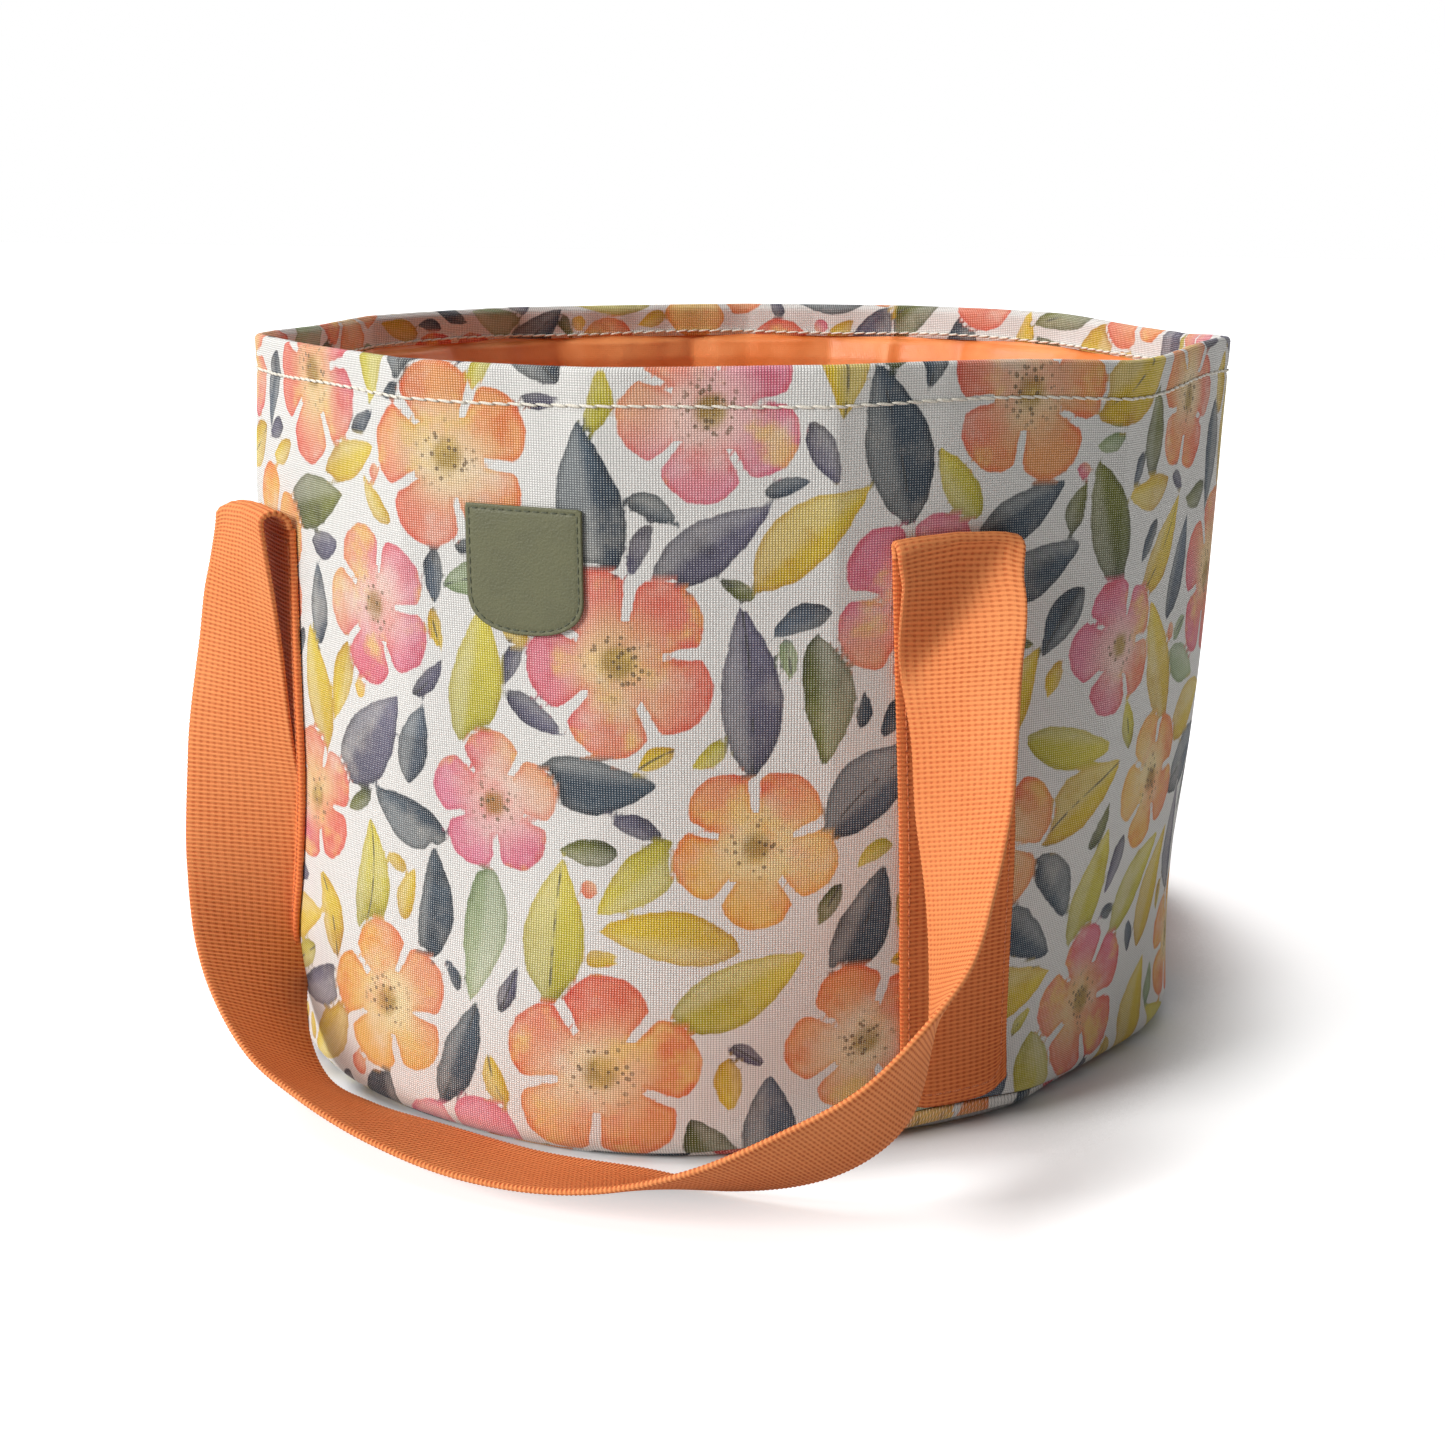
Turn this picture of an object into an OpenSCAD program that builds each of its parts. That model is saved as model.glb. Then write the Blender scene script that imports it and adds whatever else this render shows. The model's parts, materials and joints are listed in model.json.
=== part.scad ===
// Round fabric harvest bag that stands by itself: printed canvas outside, padded wall,
// coated lining, and two webbing handles that fold over and hang down outside.
// Origin at the centre of the base on the floor, +Z up, the label faces -Y.

/* [Bag] */
// Outside diameter at the rim
rim_d = 310; // [240:1:400]
// Outside diameter at the base
base_d = 298; // [230:1:380]
// Height from the floor to the top of the rim
bag_h = 224; // [190:1:320]
// Height up to which the wall stands upright before it flares
upright_h = 60; // [30:1:90]
// Height of the seam between wall and base, also the radius of the base edge
seam_h = 9; // [6:0.5:12]

/* [Layers] */
// Thickness of the printed canvas
canvas_t = 1; // [0.6:0.1:1.6]
// Thickness of the padding inside the wall
interlining_t = 2.5; // [1:0.1:4]
// Thickness of the coated lining
lining_t = 0.6; // [0.4:0.1:1.2]
// Thickness of the stiff disc in the base
board_t = 3; // [2:0.1:4]
// Depth of the hem turned in over the rim
hem_depth = 12; // [8:0.5:20]
// Room left between neighbouring layers
layer_gap = 0.2; // [0.1:0.05:0.4]

/* [Handles] */
// Width of the webbing
webbing_w = 38; // [25:1:45]
// Thickness of the webbing
webbing_t = 1.8; // [1.2:0.1:2.4]
// Angle of each sewn strip from the front or back centre line
strip_angle = 45; // [35:1:50]
// Distance from the rim down to the middle of the fold
fold_drop = 52; // [40:1:70]
// Radius of the webbing's centre line round the fold
fold_r = 3.2; // [2.6:0.1:5]
// Length of sewn strip that the fold takes over below its middle
fold_root = 2; // [1:0.5:6]
// Room between the flexing fold and the pieces it joins
fold_gap = 0.4; // [0.3:0.05:0.8]
// Height where the hanging webbing starts to settle on the floor
settle_h = 39; // [36:1:50]

/* [Label] */
// Width of the label
label_w = 36; // [24:1:50]
// Height of the label
label_h = 36; // [24:1:50]
// Height of the label's rounded foot
label_foot_h = 11; // [6:1:16]
// Distance from the rim down to the label's top edge
label_drop = 38; // [28:1:60]
// Thickness of the label
label_t = 1.2; // [0.8:0.1:2]

/* [Hidden] */

canvas_colour = "#ece3da";
webbing_colour = "#e8833f";
lining_colour = "#e2703a";
label_colour = "#5b5f3a";
padding_colour = "#d8d8d4";
board_colour = "#8f8f8c";

round_fn = 96;
rim_r = rim_d / 2;
base_r = base_d / 2;

// Radial places of the layers, each measured inwards from the outside of the wall
padding_out = canvas_t + layer_gap;
padding_in = padding_out + interlining_t;
lining_out = padding_in + layer_gap;
lining_in = lining_out + lining_t;
hem_out = lining_in + layer_gap;
hem_in = hem_out + canvas_t;

// Height where the hem starts to turn over the top edge
rim_z = bag_h - hem_in / 2;
// Heights of the layers in the base
board_z = canvas_t + layer_gap;
floor_z = board_z + board_t + layer_gap;

// Middle of the fold: its height, and its distance out from the wall
fold_z = bag_h - fold_drop;
sewn_out = layer_gap + webbing_t / 2;
fold_out = sewn_out + fold_r;

// Height where the wall lining starts, clear of the base and of the rounded edge round it
edge_in = seam_h - sqrt(pow(seam_h - canvas_t, 2) - pow(seam_h - lining_out, 2));
lining_foot = max(floor_z, edge_in + layer_gap);

// Outside radius of the wall at a height
function wall_r(z) = base_r + (rim_r - base_r) * max(0, z - upright_h) / (rim_z - upright_h);

// Height of the hanging webbing, at a share of the way down from the fold to where it settles
function hang(share) = fold_z - share * (fold_z - settle_h);

// Routes of the free webbing of each handle from its left fold to its right fold. Each point holds its
// place along the handle from -1 at the left strip to 1 at the right strip, its distance out from the wall,
// its height, the turn of the webbing's width away from the wall, and the dip of its inner edge
fold_end = [fold_out + fold_r, fold_z];
front_route = [
    [-1.00, fold_end[0], fold_end[1], 0, 0],
    [-1.00, 12.5, hang(0.15), 19, 5],
    [-1.00, 15.5, hang(0.32), 30, 4],
    [-0.98, 18.5, hang(0.5), 44, 3],
    [-0.96, 19.5, hang(0.63), 55, 2],
    [-0.93, 21, hang(0.76), 66, 5],
    [-0.89, 22.5, hang(0.88), 80, 12],
    [-0.82, 25, settle_h, 95, 17],
    [-0.71, 28.5, 25, 107, 26],
    [-0.58, 29.5, 15, 107, 30],
    [-0.43, 28, 11, 100, 25],
    [-0.21, 27, 8, 91, 15],
    [0.02, 28.5, 6, 82, 11],
    [0.25, 33, 8, 74, 13],
    [0.45, 41, 13, 64, 27],
    [0.62, 48, 23, 52, 36],
    [0.74, 50, 35, 53, 34],
    [0.82, 46, hang(0.91), 67, 28],
    [0.88, 40, hang(0.78), 85, 22],
    [0.92, 31, hang(0.64), 96, 18],
    [0.94, 25, hang(0.5), 108, 16],
    [0.95, 21.5, hang(0.35), 119, 12],
    [0.965, 15, hang(0.22), 140, 7],
    [0.99, 11, hang(0.1), 163, 1],
    [1.00, fold_end[0], fold_end[1], 180, 0]
];
// Height of webbing that stands on its edge, a little clear of the floor
stand_z = webbing_w / 2 + 2;
// Left half of the back handle, down to the middle of its stretch along the floor
back_half = [
    [-1.00, fold_end[0], fold_end[1], 0, 0],
    [-0.99, 10, hang(0.16), -10, -4],
    [-0.97, 11, hang(0.32), -12, -6],
    [-0.95, 8, hang(0.5), -1, -10],
    [-0.91, 7, hang(0.64), 8, -12],
    [-0.87, 9, hang(0.77), 15, -11],
    [-0.83, 14, hang(0.92), 32, -6],
    [-0.79, 18, settle_h - 1, 50, 5],
    [-0.74, 23, stand_z + 8, 67, 22],
    [-0.69, 27, stand_z + 3, 75, 34],
    [-0.60, 32, stand_z, 80, 53],
    [-0.49, 35, stand_z - 1, 82, 70],
    [-0.36, 36, stand_z, 85, 86],
    [-0.21, 36, stand_z + 1, 87, 98],
    [0.00, 36, stand_z + 2, 90, 105]
];
back_route = concat(
    back_half,
    [for (k = [len(back_half) - 2:-1:0]) let (p = back_half[k]) [-p[0], p[1], p[2], 180 - p[3], p[4]]]
);
// Route points where the flexing folds end and the swinging loop begins, counted from either end
left_split = 3;
front_right_split = len(front_route) - 5;
back_right_split = len(back_route) - 4;
// Rings of webbing between two route points, and round half a fold
route_steps = 4;
fold_steps = 6;
// Length carried straight on past each end of a route, so that it meets the fold upright
end_lead = 20;

// Point i of a route, with the ends carried straight on upwards
function route_point(route, i) =
    let (last = len(route) - 1)
    i < 0 ? route[0] + [0, 0, end_lead, 0, 0] :
    i > last ? route[last] + [0, 0, end_lead, 0, 0] : route[i];

// Smooth curve through a route at the place t, counted in route points
function route_at(route, t) =
    let (
        i = min(floor(t), len(route) - 2),
        f = t - i,
        a = route_point(route, i - 1),
        b = route_point(route, i),
        c = route_point(route, i + 1),
        d = route_point(route, i + 2)
    )
    b + 0.5 * f * (c - a + f * (2 * a - 5 * b + 4 * c - d + f * (3 * (b - c) + d - a)));

// Centre and width direction of the webbing for one set of route values
function station(p) =
    let (
        a = p[0] * strip_angle,
        r = wall_r(p[2]) + p[1],
        h = a + p[3]
    )
    [[r * sin(a), -r * cos(a), p[2]], [cos(h) * cos(p[4]), sin(h) * cos(p[4]), -sin(p[4])]];

// Stations from place t0 to place t1 of a route
function route_stations(route, t0, t1) =
    let (n = ceil((t1 - t0) * route_steps))
    [for (k = [0:n]) station(route_at(route, t0 + (t1 - t0) * k / n))];

// Stations of the turn at the top of a sewn strip, from its root up and over to the start of the route
function turn_stations(side, turn) =
    let (
        a = side * strip_angle,
        r = wall_r(fold_z) + fold_out,
        out = [sin(a), -cos(a), 0],
        across = [cos(a + turn), sin(a + turn), 0],
        root = (r - fold_r) * out + [0, 0, fold_z - fold_root + fold_gap]
    )
    concat(
        [[root, across]],
        [
            for (k = [0:fold_steps - 1])
                let (b = 180 * (1 - k / fold_steps))
                [r * out + [0, 0, fold_z] + fold_r * (cos(b) * out + [0, 0, sin(b)]), across]
        ]
    );

function reversed(v) = [for (k = [len(v) - 1:-1:0]) v[k]];
function unit(v) = v / norm(v);

// Flat webbing along a list of stations
module webbing(stations) {
    n = len(stations) - 1;
    corners = [
        for (k = [0:n])
            let (
                ahead = stations[min(k + 1, n)][0] - stations[max(k - 1, 0)][0],
                across = stations[k][1],
                up = unit(cross(ahead, across)) * webbing_t / 2,
                side = across * webbing_w / 2
            )
            each [for (c = [side + up, up - side, -side - up, side - up]) stations[k][0] + c]
    ];
    walls = [
        for (k = [0:n - 1], j = [0:3])
            let (a = 4 * k + j, b = 4 * k + (j + 1) % 4)
            each [[a, a + 4, b], [b, a + 4, b + 4]]
    ];
    ends = [[0, 1, 2], [0, 2, 3], [4 * n + 2, 4 * n + 1, 4 * n], [4 * n + 3, 4 * n + 2, 4 * n]];
    polyhedron(corners, concat(walls, ends));
}

// Cross-section of a wall layer between two distances in from the outside, and two heights
module layer_profile(outside, inside, z0, z1) {
    heights = [z0, if (z0 < upright_h && upright_h < z1) upright_h, z1];
    polygon(concat(
        [for (z = heights) [wall_r(z) - outside, z]],
        [for (z = reversed(heights)) [wall_r(z) - inside, z]]
    ));
}

module outer_wall() {
    turn_r = hem_in / 2;
    color(canvas_colour) rotate_extrude($fn = round_fn) {
        layer_profile(0, canvas_t, seam_h + layer_gap, rim_z);
        layer_profile(hem_out, hem_in, bag_h - hem_depth, rim_z);
        translate([rim_r - turn_r, rim_z]) intersection() {
            difference() {
                circle(turn_r, $fn = round_fn);
                circle(turn_r - canvas_t, $fn = round_fn);
            }
            translate([-turn_r, 0]) square([2 * turn_r, turn_r]);
        }
    }
}

module outer_base() {
    color(canvas_colour) rotate_extrude($fn = round_fn) {
        square([base_r - seam_h, canvas_t]);
        translate([base_r - seam_h, seam_h]) intersection() {
            difference() {
                circle(seam_h, $fn = round_fn);
                circle(seam_h - canvas_t, $fn = round_fn);
            }
            translate([0, -seam_h]) square(seam_h);
        }
    }
}

module wall_interlining() {
    color(padding_colour) rotate_extrude($fn = round_fn)
        layer_profile(padding_out, padding_in, seam_h + layer_gap, rim_z);
}

module base_board() {
    color(board_colour) translate([0, 0, board_z])
        cylinder(h = board_t, r = base_r - seam_h, $fn = round_fn);
}

module lining_wall() {
    color(lining_colour) rotate_extrude($fn = round_fn)
        layer_profile(lining_out, lining_in, lining_foot, rim_z);
}

module lining_base() {
    color(lining_colour) translate([0, 0, floor_z])
        cylinder(h = lining_t, r = base_r - lining_in - layer_gap, $fn = round_fn);
}

// Shield outline of the label: straight sides over a rounded foot, with its top edge on the X axis
module label_outline() {
    foot_top = label_foot_h - label_h;
    roundness = 2.4;
    polygon(concat(
        [[label_w / 2, 0], [-label_w / 2, 0]],
        [
            for (a = [180:10:360])
                [
                    label_w / 2 * sign(cos(a)) * pow(abs(cos(a)), 2 / roundness),
                    foot_top - label_foot_h * pow(abs(sin(a)), 2 / roundness)
                ]
        ]
    ));
}

module label_patch() {
    top = bag_h - label_drop;
    color(label_colour) intersection() {
        rotate_extrude($fn = round_fn)
            layer_profile(-layer_gap - label_t, -layer_gap, top - label_h, top);
        translate([0, 0, top]) rotate([90, 0, 0]) linear_extrude(2 * rim_r) label_outline();
    }
}

// One sewn strip of webbing up the wall, at an angle round from the front
module strip(angle) {
    foot = seam_h + layer_gap;
    color(webbing_colour) intersection() {
        rotate_extrude($fn = round_fn)
            layer_profile(-layer_gap - webbing_t, -layer_gap, foot, fold_z - fold_root);
        rotate([0, 0, angle]) translate([-webbing_w / 2, -2 * rim_r, 0])
            cube([webbing_w, 2 * rim_r, bag_h]);
    }
}

module left_fold(route) {
    color(webbing_colour) webbing(concat(turn_stations(-1, 0), route_stations(route, 0, left_split)));
}

module right_fold(route, split) {
    color(webbing_colour)
        webbing(concat(route_stations(route, split, len(route) - 1), reversed(turn_stations(1, 180))));
}

module handle_loop(route, split) {
    start = route[left_split];
    spare = fold_gap / norm(station(start)[0] - station(route[left_split + 1])[0]);
    color(webbing_colour) webbing(route_stations(route, left_split + spare, split - spare));
}

// Carries a handle piece from the front of the bag to the back
module at_back() {
    mirror([0, 1, 0]) children();
}

module front_left_strip() { strip(-strip_angle); }
module front_right_strip() { strip(strip_angle); }
module back_left_strip() { strip(180 + strip_angle); }
module back_right_strip() { strip(180 - strip_angle); }
module front_left_fold() { left_fold(front_route); }
module front_right_fold() { right_fold(front_route, front_right_split); }
module back_left_fold() { at_back() left_fold(back_route); }
module back_right_fold() { at_back() right_fold(back_route, back_right_split); }
module front_handle_loop() { handle_loop(front_route, front_right_split); }
module back_handle_loop() { at_back() handle_loop(back_route, back_right_split); }

outer_wall();
outer_base();
wall_interlining();
base_board();
lining_wall();
lining_base();
label_patch();
front_left_strip();
front_right_strip();
back_left_strip();
back_right_strip();
front_left_fold();
front_right_fold();
back_left_fold();
back_right_fold();
front_handle_loop();
back_handle_loop();
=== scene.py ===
import json
import math
import random

import bpy
import numpy as np
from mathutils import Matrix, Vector


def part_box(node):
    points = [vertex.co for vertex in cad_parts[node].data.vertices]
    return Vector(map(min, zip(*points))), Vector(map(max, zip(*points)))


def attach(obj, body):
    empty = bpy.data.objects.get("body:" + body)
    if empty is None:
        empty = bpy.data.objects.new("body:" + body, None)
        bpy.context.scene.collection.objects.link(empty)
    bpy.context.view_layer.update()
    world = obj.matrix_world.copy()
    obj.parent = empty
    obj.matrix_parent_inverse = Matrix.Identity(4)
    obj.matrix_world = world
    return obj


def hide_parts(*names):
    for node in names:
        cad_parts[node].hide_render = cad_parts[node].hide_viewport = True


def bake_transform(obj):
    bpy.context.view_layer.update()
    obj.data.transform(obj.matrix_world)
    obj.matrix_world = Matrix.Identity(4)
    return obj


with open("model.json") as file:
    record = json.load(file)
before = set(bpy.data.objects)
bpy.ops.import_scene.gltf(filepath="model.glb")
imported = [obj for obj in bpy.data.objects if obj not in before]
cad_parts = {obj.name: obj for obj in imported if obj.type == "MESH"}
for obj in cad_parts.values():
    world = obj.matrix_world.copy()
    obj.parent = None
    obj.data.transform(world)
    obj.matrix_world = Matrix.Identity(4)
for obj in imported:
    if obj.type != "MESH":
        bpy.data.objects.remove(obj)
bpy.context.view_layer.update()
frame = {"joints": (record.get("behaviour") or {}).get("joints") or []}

MM = 0.001

# Sizes of the bag, read from the frame
rim_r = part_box("outer_wall")[1].x
bag_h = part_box("outer_wall")[1].z
base_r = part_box("outer_base")[1].x
seam_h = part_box("outer_base")[1].z
lining_floor_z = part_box("lining_base")[0].z
lining_floor_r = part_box("lining_base")[1].x
label_low, label_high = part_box("label_patch")
strip_top_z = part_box("front_left_strip")[1].z
fold_z = frame["joints"][0]["pos_m"][2]

# Sizes that the frame's cloth layers, strips and folds were built to
upright_h = 60 * MM
canvas_t = 1 * MM
lining_t = 0.6 * MM
hem_depth = 12 * MM
layer_gap = 0.2 * MM
webbing_w = 38 * MM
webbing_t = 1.8 * MM
strip_angle = 45
fold_r = 3.2 * MM

# Half the hem's thickness, the height where it turns over, and the drop from the rim to its topstitching
hem_half = 1.6 * MM
rim_z = bag_h - hem_half
stitch_drop = 10.5 * MM

# Angles round the rim, from the front centre, where the padded wall has been folded for packing
RIM_CORNERS = [-208, -182, -158, -122, -96, -57, -15, 8, 32, 67, 101, 128, 152, 178, 202]
corner_depth = 3.6 * MM
# Dips in the top edge: angle in degrees, depth, and half width in degrees
RIM_DIPS = [(128, 3.6 * MM, 20), (72, 2.4 * MM, 14), (4, 1.2 * MM, 22), (-80, 1.2 * MM, 16)]
# Foot of the wall as it has settled: angle, distance out from the plain wall and height of the base seam,
# in millimetres. The sewn strips hold the seam up; between them the wall rolls under to the floor
FOOT = [
    (-180, 0, 1.5), (-158, 1, 1.2), (-135, 0, 6.5), (-112, 1.5, 1.2), (-90, 2.5, 1.0), (-62, 3.5, 1.2),
    (-45, 5, 6.5), (-36, 8, 2.0), (-24, 8, 1.0), (-10, 7.5, 0.9), (3, 8.5, 0.9), (17, 5.5, 1.2),
    (30, -1, 3.5), (42, -5.5, 8.0), (55, -6, 7.5), (62, -7, 4.0), (68, -9.5, 1.5), (76, -10.5, 1.0),
    (83, -8.5, 1.0), (91, -3.5, 1.0), (98, -1.5, 1.0), (120, -1, 2.0), (135, -1, 6.5), (155, 0, 1.2),
    (180, 0, 1.5),
]
# Degrees over which those points are smoothed, the height of the foot's roll, and where it fades up the wall
foot_soft = 6
foot_round_h = 7 * MM
foot_fade_low, foot_fade_high = 6 * MM, 100 * MM
# The wall rolls in to the base seam by the first of these, and by the second too where the seam is low
tuck_always, tuck_more = 1.3 * MM, 3.7 * MM
# The wall bulges on the left and is drawn in low on the right: angle and half width in degrees, then sizes
belly_angle, belly_half, belly_depth = -52, 38, 5.5 * MM
belly_low, belly_high = 50 * MM, 165 * MM
waist_angle, waist_half, waist_depth = 105, 40, 3.5 * MM
waist_z, waist_half_h = 38 * MM, 52 * MM
# Hollows left by the topstitching round the hem and by the wall's closing seam at the back
groove_depth, groove_half = 0.45 * MM, 1.5 * MM
back_seam_depth, back_seam_half = 0.8 * MM, 0.6


def eased(value, low, high):
    """0 below low, 1 above high, and a smooth step between them."""
    t = np.clip((value - low) / (high - low), 0, 1)
    return t * t * (3 - 2 * t)


def hump(value, centre, half):
    """1 at the centre, falling away smoothly on both sides."""
    return np.exp(-(((value - centre) / half) ** 2))


def from_front(degrees):
    """An angle brought to within half a turn of the front."""
    return (degrees + 180) % 360 - 180


# The soft wall

def foot_tables():
    """The settled foot at even steps of angle, smoothed."""
    steps = np.arange(-360, 361)
    angles, outs, heights = np.array(FOOT).T
    soft = hump(np.arange(-20, 21), 0, foot_soft)
    soft /= soft.sum()
    rows = [np.interp(from_front(steps), angles, values * MM) for values in (outs, heights)]
    return steps, *(np.convolve(row, soft, "same") for row in rows)


FOOT_STEPS, FOOT_OUT, FOOT_SEAM = foot_tables()


def seam_z(phi):
    """Height of the base seam at an angle."""
    return np.interp(np.degrees(phi), FOOT_STEPS, FOOT_SEAM)


def foot_tuck(phi):
    """How far the wall rolls in to the base seam: far where the seam is low."""
    return tuck_always + tuck_more * (1 - eased(seam_z(phi), 1.5 * MM, 6 * MM))


def cone_r(z):
    """Outside radius of the plain wall at a height."""
    flare = np.maximum(0, z - upright_h) / (bag_h - upright_h)
    return base_r + (rim_r - base_r) * flare


def corner_sag(degrees):
    """How deep the rim lies behind its corners, from 0 at a corner to 1 midway along a usual stretch."""
    corners = np.array(RIM_CORNERS, float)
    k = np.clip(np.searchsorted(corners, degrees) - 1, 0, len(corners) - 2)
    span = corners[k + 1] - corners[k]
    t = (degrees - corners[k]) / span
    return 4 * t * (1 - t) * (span / 30) ** 1.5


def slump(phi, z):
    """How far the soft wall stands out from the plain cone."""
    degrees = from_front(np.degrees(phi))
    up = z / bag_h
    folded = corner_sag(degrees) * corner_depth * eased(up, 0.15, 1.0)
    foot = np.interp(degrees, FOOT_STEPS, FOOT_OUT) * (1 - eased(z, foot_fade_low, foot_fade_high))
    belly = belly_depth * hump(degrees, belly_angle, belly_half)
    belly = belly * eased(z, 0, belly_low) * (1 - 0.7 * eased(z, belly_high, bag_h))
    waist = waist_depth * hump(degrees, waist_angle, waist_half) * hump(z, waist_z, waist_half_h)
    midway = np.sin(math.pi * up)
    waves = 0.55 * MM * np.sin(3 * phi + 0.7) * midway
    waves += 0.45 * MM * np.sin(7 * phi - 1.1 + 2.2 * up) * midway ** 2
    waves += 0.25 * MM * np.sin(13 * phi + 0.4 - 3.1 * up) * eased(up, 0.1, 0.5)
    groove = groove_depth * hump(z, bag_h - stitch_drop, groove_half)
    pucker = 0.16 * MM * np.sin(61 * phi + 2 * np.sin(5 * phi)) * eased(up, 0.86, 0.95)
    back_seam = back_seam_depth * hump(np.abs(degrees), 180, back_seam_half)
    return foot + belly + waves + pucker - waist - folded - groove - back_seam


def rim_dip(phi, z):
    """How far the top edge dips, fading out down the wall."""
    degrees = from_front(np.degrees(phi))
    dip = sum(depth * hump(degrees, angle, half) for angle, depth, half in RIM_DIPS)
    return dip * eased(z / bag_h, 0.55, 1.0)


def on_wall(phi, z, out):
    """Points at an angle from the front and a height, a distance out from the soft wall."""
    r = cone_r(z) + slump(phi, z) + out
    return np.stack([r * np.sin(phi), -r * np.cos(phi), z - rim_dip(phi, z)], axis=-1)


# Mesh helpers

def made_mesh(name, points, faces, uvs=None):
    """An object from points and faces, smooth, with one UV for each face corner."""
    mesh = bpy.data.meshes.new(name)
    mesh.from_pydata(np.asarray(points).reshape(-1, 3).tolist(), [], faces)
    mesh.polygons.foreach_set("use_smooth", np.ones(len(mesh.polygons), bool))
    if uvs is not None:
        layer = mesh.uv_layers.new(name="cloth")
        layer.data.foreach_set("uv", np.asarray(uvs, np.float32).ravel())
    mesh.update()
    piece = bpy.data.objects.new(name, mesh)
    bpy.context.scene.collection.objects.link(piece)
    return piece


def ring_faces(rows, cols, closed=False):
    """Four-sided faces between rows of points that each go once round."""
    faces = []
    for i in range(rows if closed else rows - 1):
        low, high = i * cols, (i + 1) % rows * cols
        for j in range(cols):
            k = (j + 1) % cols
            faces.append((low + j, low + k, high + k, high + j))
    return faces


def ring_corners(uv):
    """Cloth places at the corners of such faces; uv has one column more than the points."""
    corners = [uv[:-1, :-1], uv[:-1, 1:], uv[1:, 1:], uv[1:, :-1]]
    return np.stack(corners, axis=2).reshape(-1, 2)


def round_mesh(name, rings, uv, closed=False, poles=False):
    """A piece made of rings of points that go all round the bag; uv gives the cloth place of each."""
    rows, cols = rings.shape[:2]
    points = rings.reshape(-1, 3)
    faces = ring_faces(rows, cols, closed)
    corners = [ring_corners(uv)]
    if poles:
        for ring, order in ((0, -1), (rows - 1, 1)):
            centre = len(points)
            points = np.vstack([points, rings[ring].mean(axis=0)])
            for j in range(cols):
                ends = [ring * cols + j, ring * cols + (j + 1) % cols]
                faces.append((*ends[::order], centre))
                corners.append([*uv[ring, j:j + 2][::order], uv[ring].mean(axis=0)])
    return made_mesh(name, points, faces, np.vstack(corners))


def path_length(points):
    """Distance along a row of points, from its start."""
    steps = np.linalg.norm(np.diff(points, axis=0), axis=1)
    return np.concatenate([[0], np.cumsum(steps)])


# The printed design: five-petalled blossoms, leaves and berries, laid out by a seeded rule

BLOSSOM_TINTS = [
    ((0.90, 0.62, 0.30), (0.86, 0.24, 0.16), (0.80, 0.22, 0.32)),
    ((0.92, 0.70, 0.42), (0.88, 0.36, 0.12), (0.84, 0.20, 0.14)),
    ((0.93, 0.60, 0.52), (0.82, 0.26, 0.36), (0.90, 0.46, 0.20)),
    ((0.94, 0.76, 0.40), (0.90, 0.50, 0.10), (0.86, 0.30, 0.18)),
]
LEAF_TINTS = [
    ((0.022, 0.04, 0.062), (0.06, 0.095, 0.13)),
    ((0.035, 0.05, 0.075), (0.13, 0.17, 0.22)),
    ((0.065, 0.08, 0.015), (0.24, 0.25, 0.035)),
    ((0.66, 0.42, 0.02), (0.86, 0.66, 0.05)),
    ((0.48, 0.43, 0.03), (0.82, 0.70, 0.09)),
    ((0.28, 0.36, 0.18), (0.50, 0.57, 0.34)),
    ((0.07, 0.065, 0.105), (0.18, 0.165, 0.25)),
]
LEAF_ODDS = [6, 4, 3, 6, 4, 2, 3]
BERRY_TINTS = [(0.86, 0.30, 0.16), (0.88, 0.62, 0.10), (0.80, 0.26, 0.34)]
# Least and greatest sizes in millimetres: a blossom's radius, a leaf's length beside it, a berry's radius
BLOSSOM_SIZES, SPRAY_SIZES, BERRY_SIZES = (21, 29), (34, 50), (2.2, 4)
# Leaves that fill the rest, from long to short: longest and shortest in millimetres, and how many are tried
LEAF_PASSES = [(44, 32, 1500), (32, 24, 1800), (24, 17, 2400), (17, 11, 2600)]
blossom_row, blossom_column = 58 * MM, 77 * MM
sprays, berry_tries = 9, 1500
print_clear = 0.5 * MM
print_gap = 1.0 * MM
print_reach = 12 * MM
no_vein = 50 * MM


def turned(x, y, motif):
    """Cloth places as seen from a motif's own centre and direction."""
    dx, dy = x - motif["x"], y - motif["y"]
    c, s = math.cos(motif["angle"]), math.sin(motif["angle"])
    return dx * c + dy * s, dy * c - dx * s


def leaf_half(motif, share):
    """Half width of a leaf at a share of its length."""
    return motif["width"] / 2 * np.sin(math.pi * share ** 0.8) ** 0.9


def leaf_bow(motif, u):
    """How far a leaf's middle line bows to the side at a distance along it."""
    return motif["bend"] * u * (motif["size"] - u) / motif["size"]


def motif_edge(x, y, motif):
    """Distance outside a motif's outline, below 0 within it."""
    u, v = turned(x, y, motif)
    size = motif["size"]
    if motif["kind"] == "leaf":
        v = v - leaf_bow(motif, u)
        half = leaf_half(motif, np.clip(u / size, 0, 1))
        past = np.maximum(-u, u - size)
        return np.where(past > 0, np.hypot(past, v), 0.92 * (np.abs(v) - half))
    r = np.hypot(u, v)
    if motif["kind"] == "berry":
        return r - size
    petal = np.abs(np.cos(2.5 * np.arctan2(v, u)))
    outside = 0.85 * (r - size * (0.70 + 0.30 * petal ** 0.6))
    slit = 0.2 * MM + 0.07 * r - r * np.arcsin(petal) / 2.5
    return np.maximum(outside, np.where(r > 0.42 * size, slit, outside))


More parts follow.
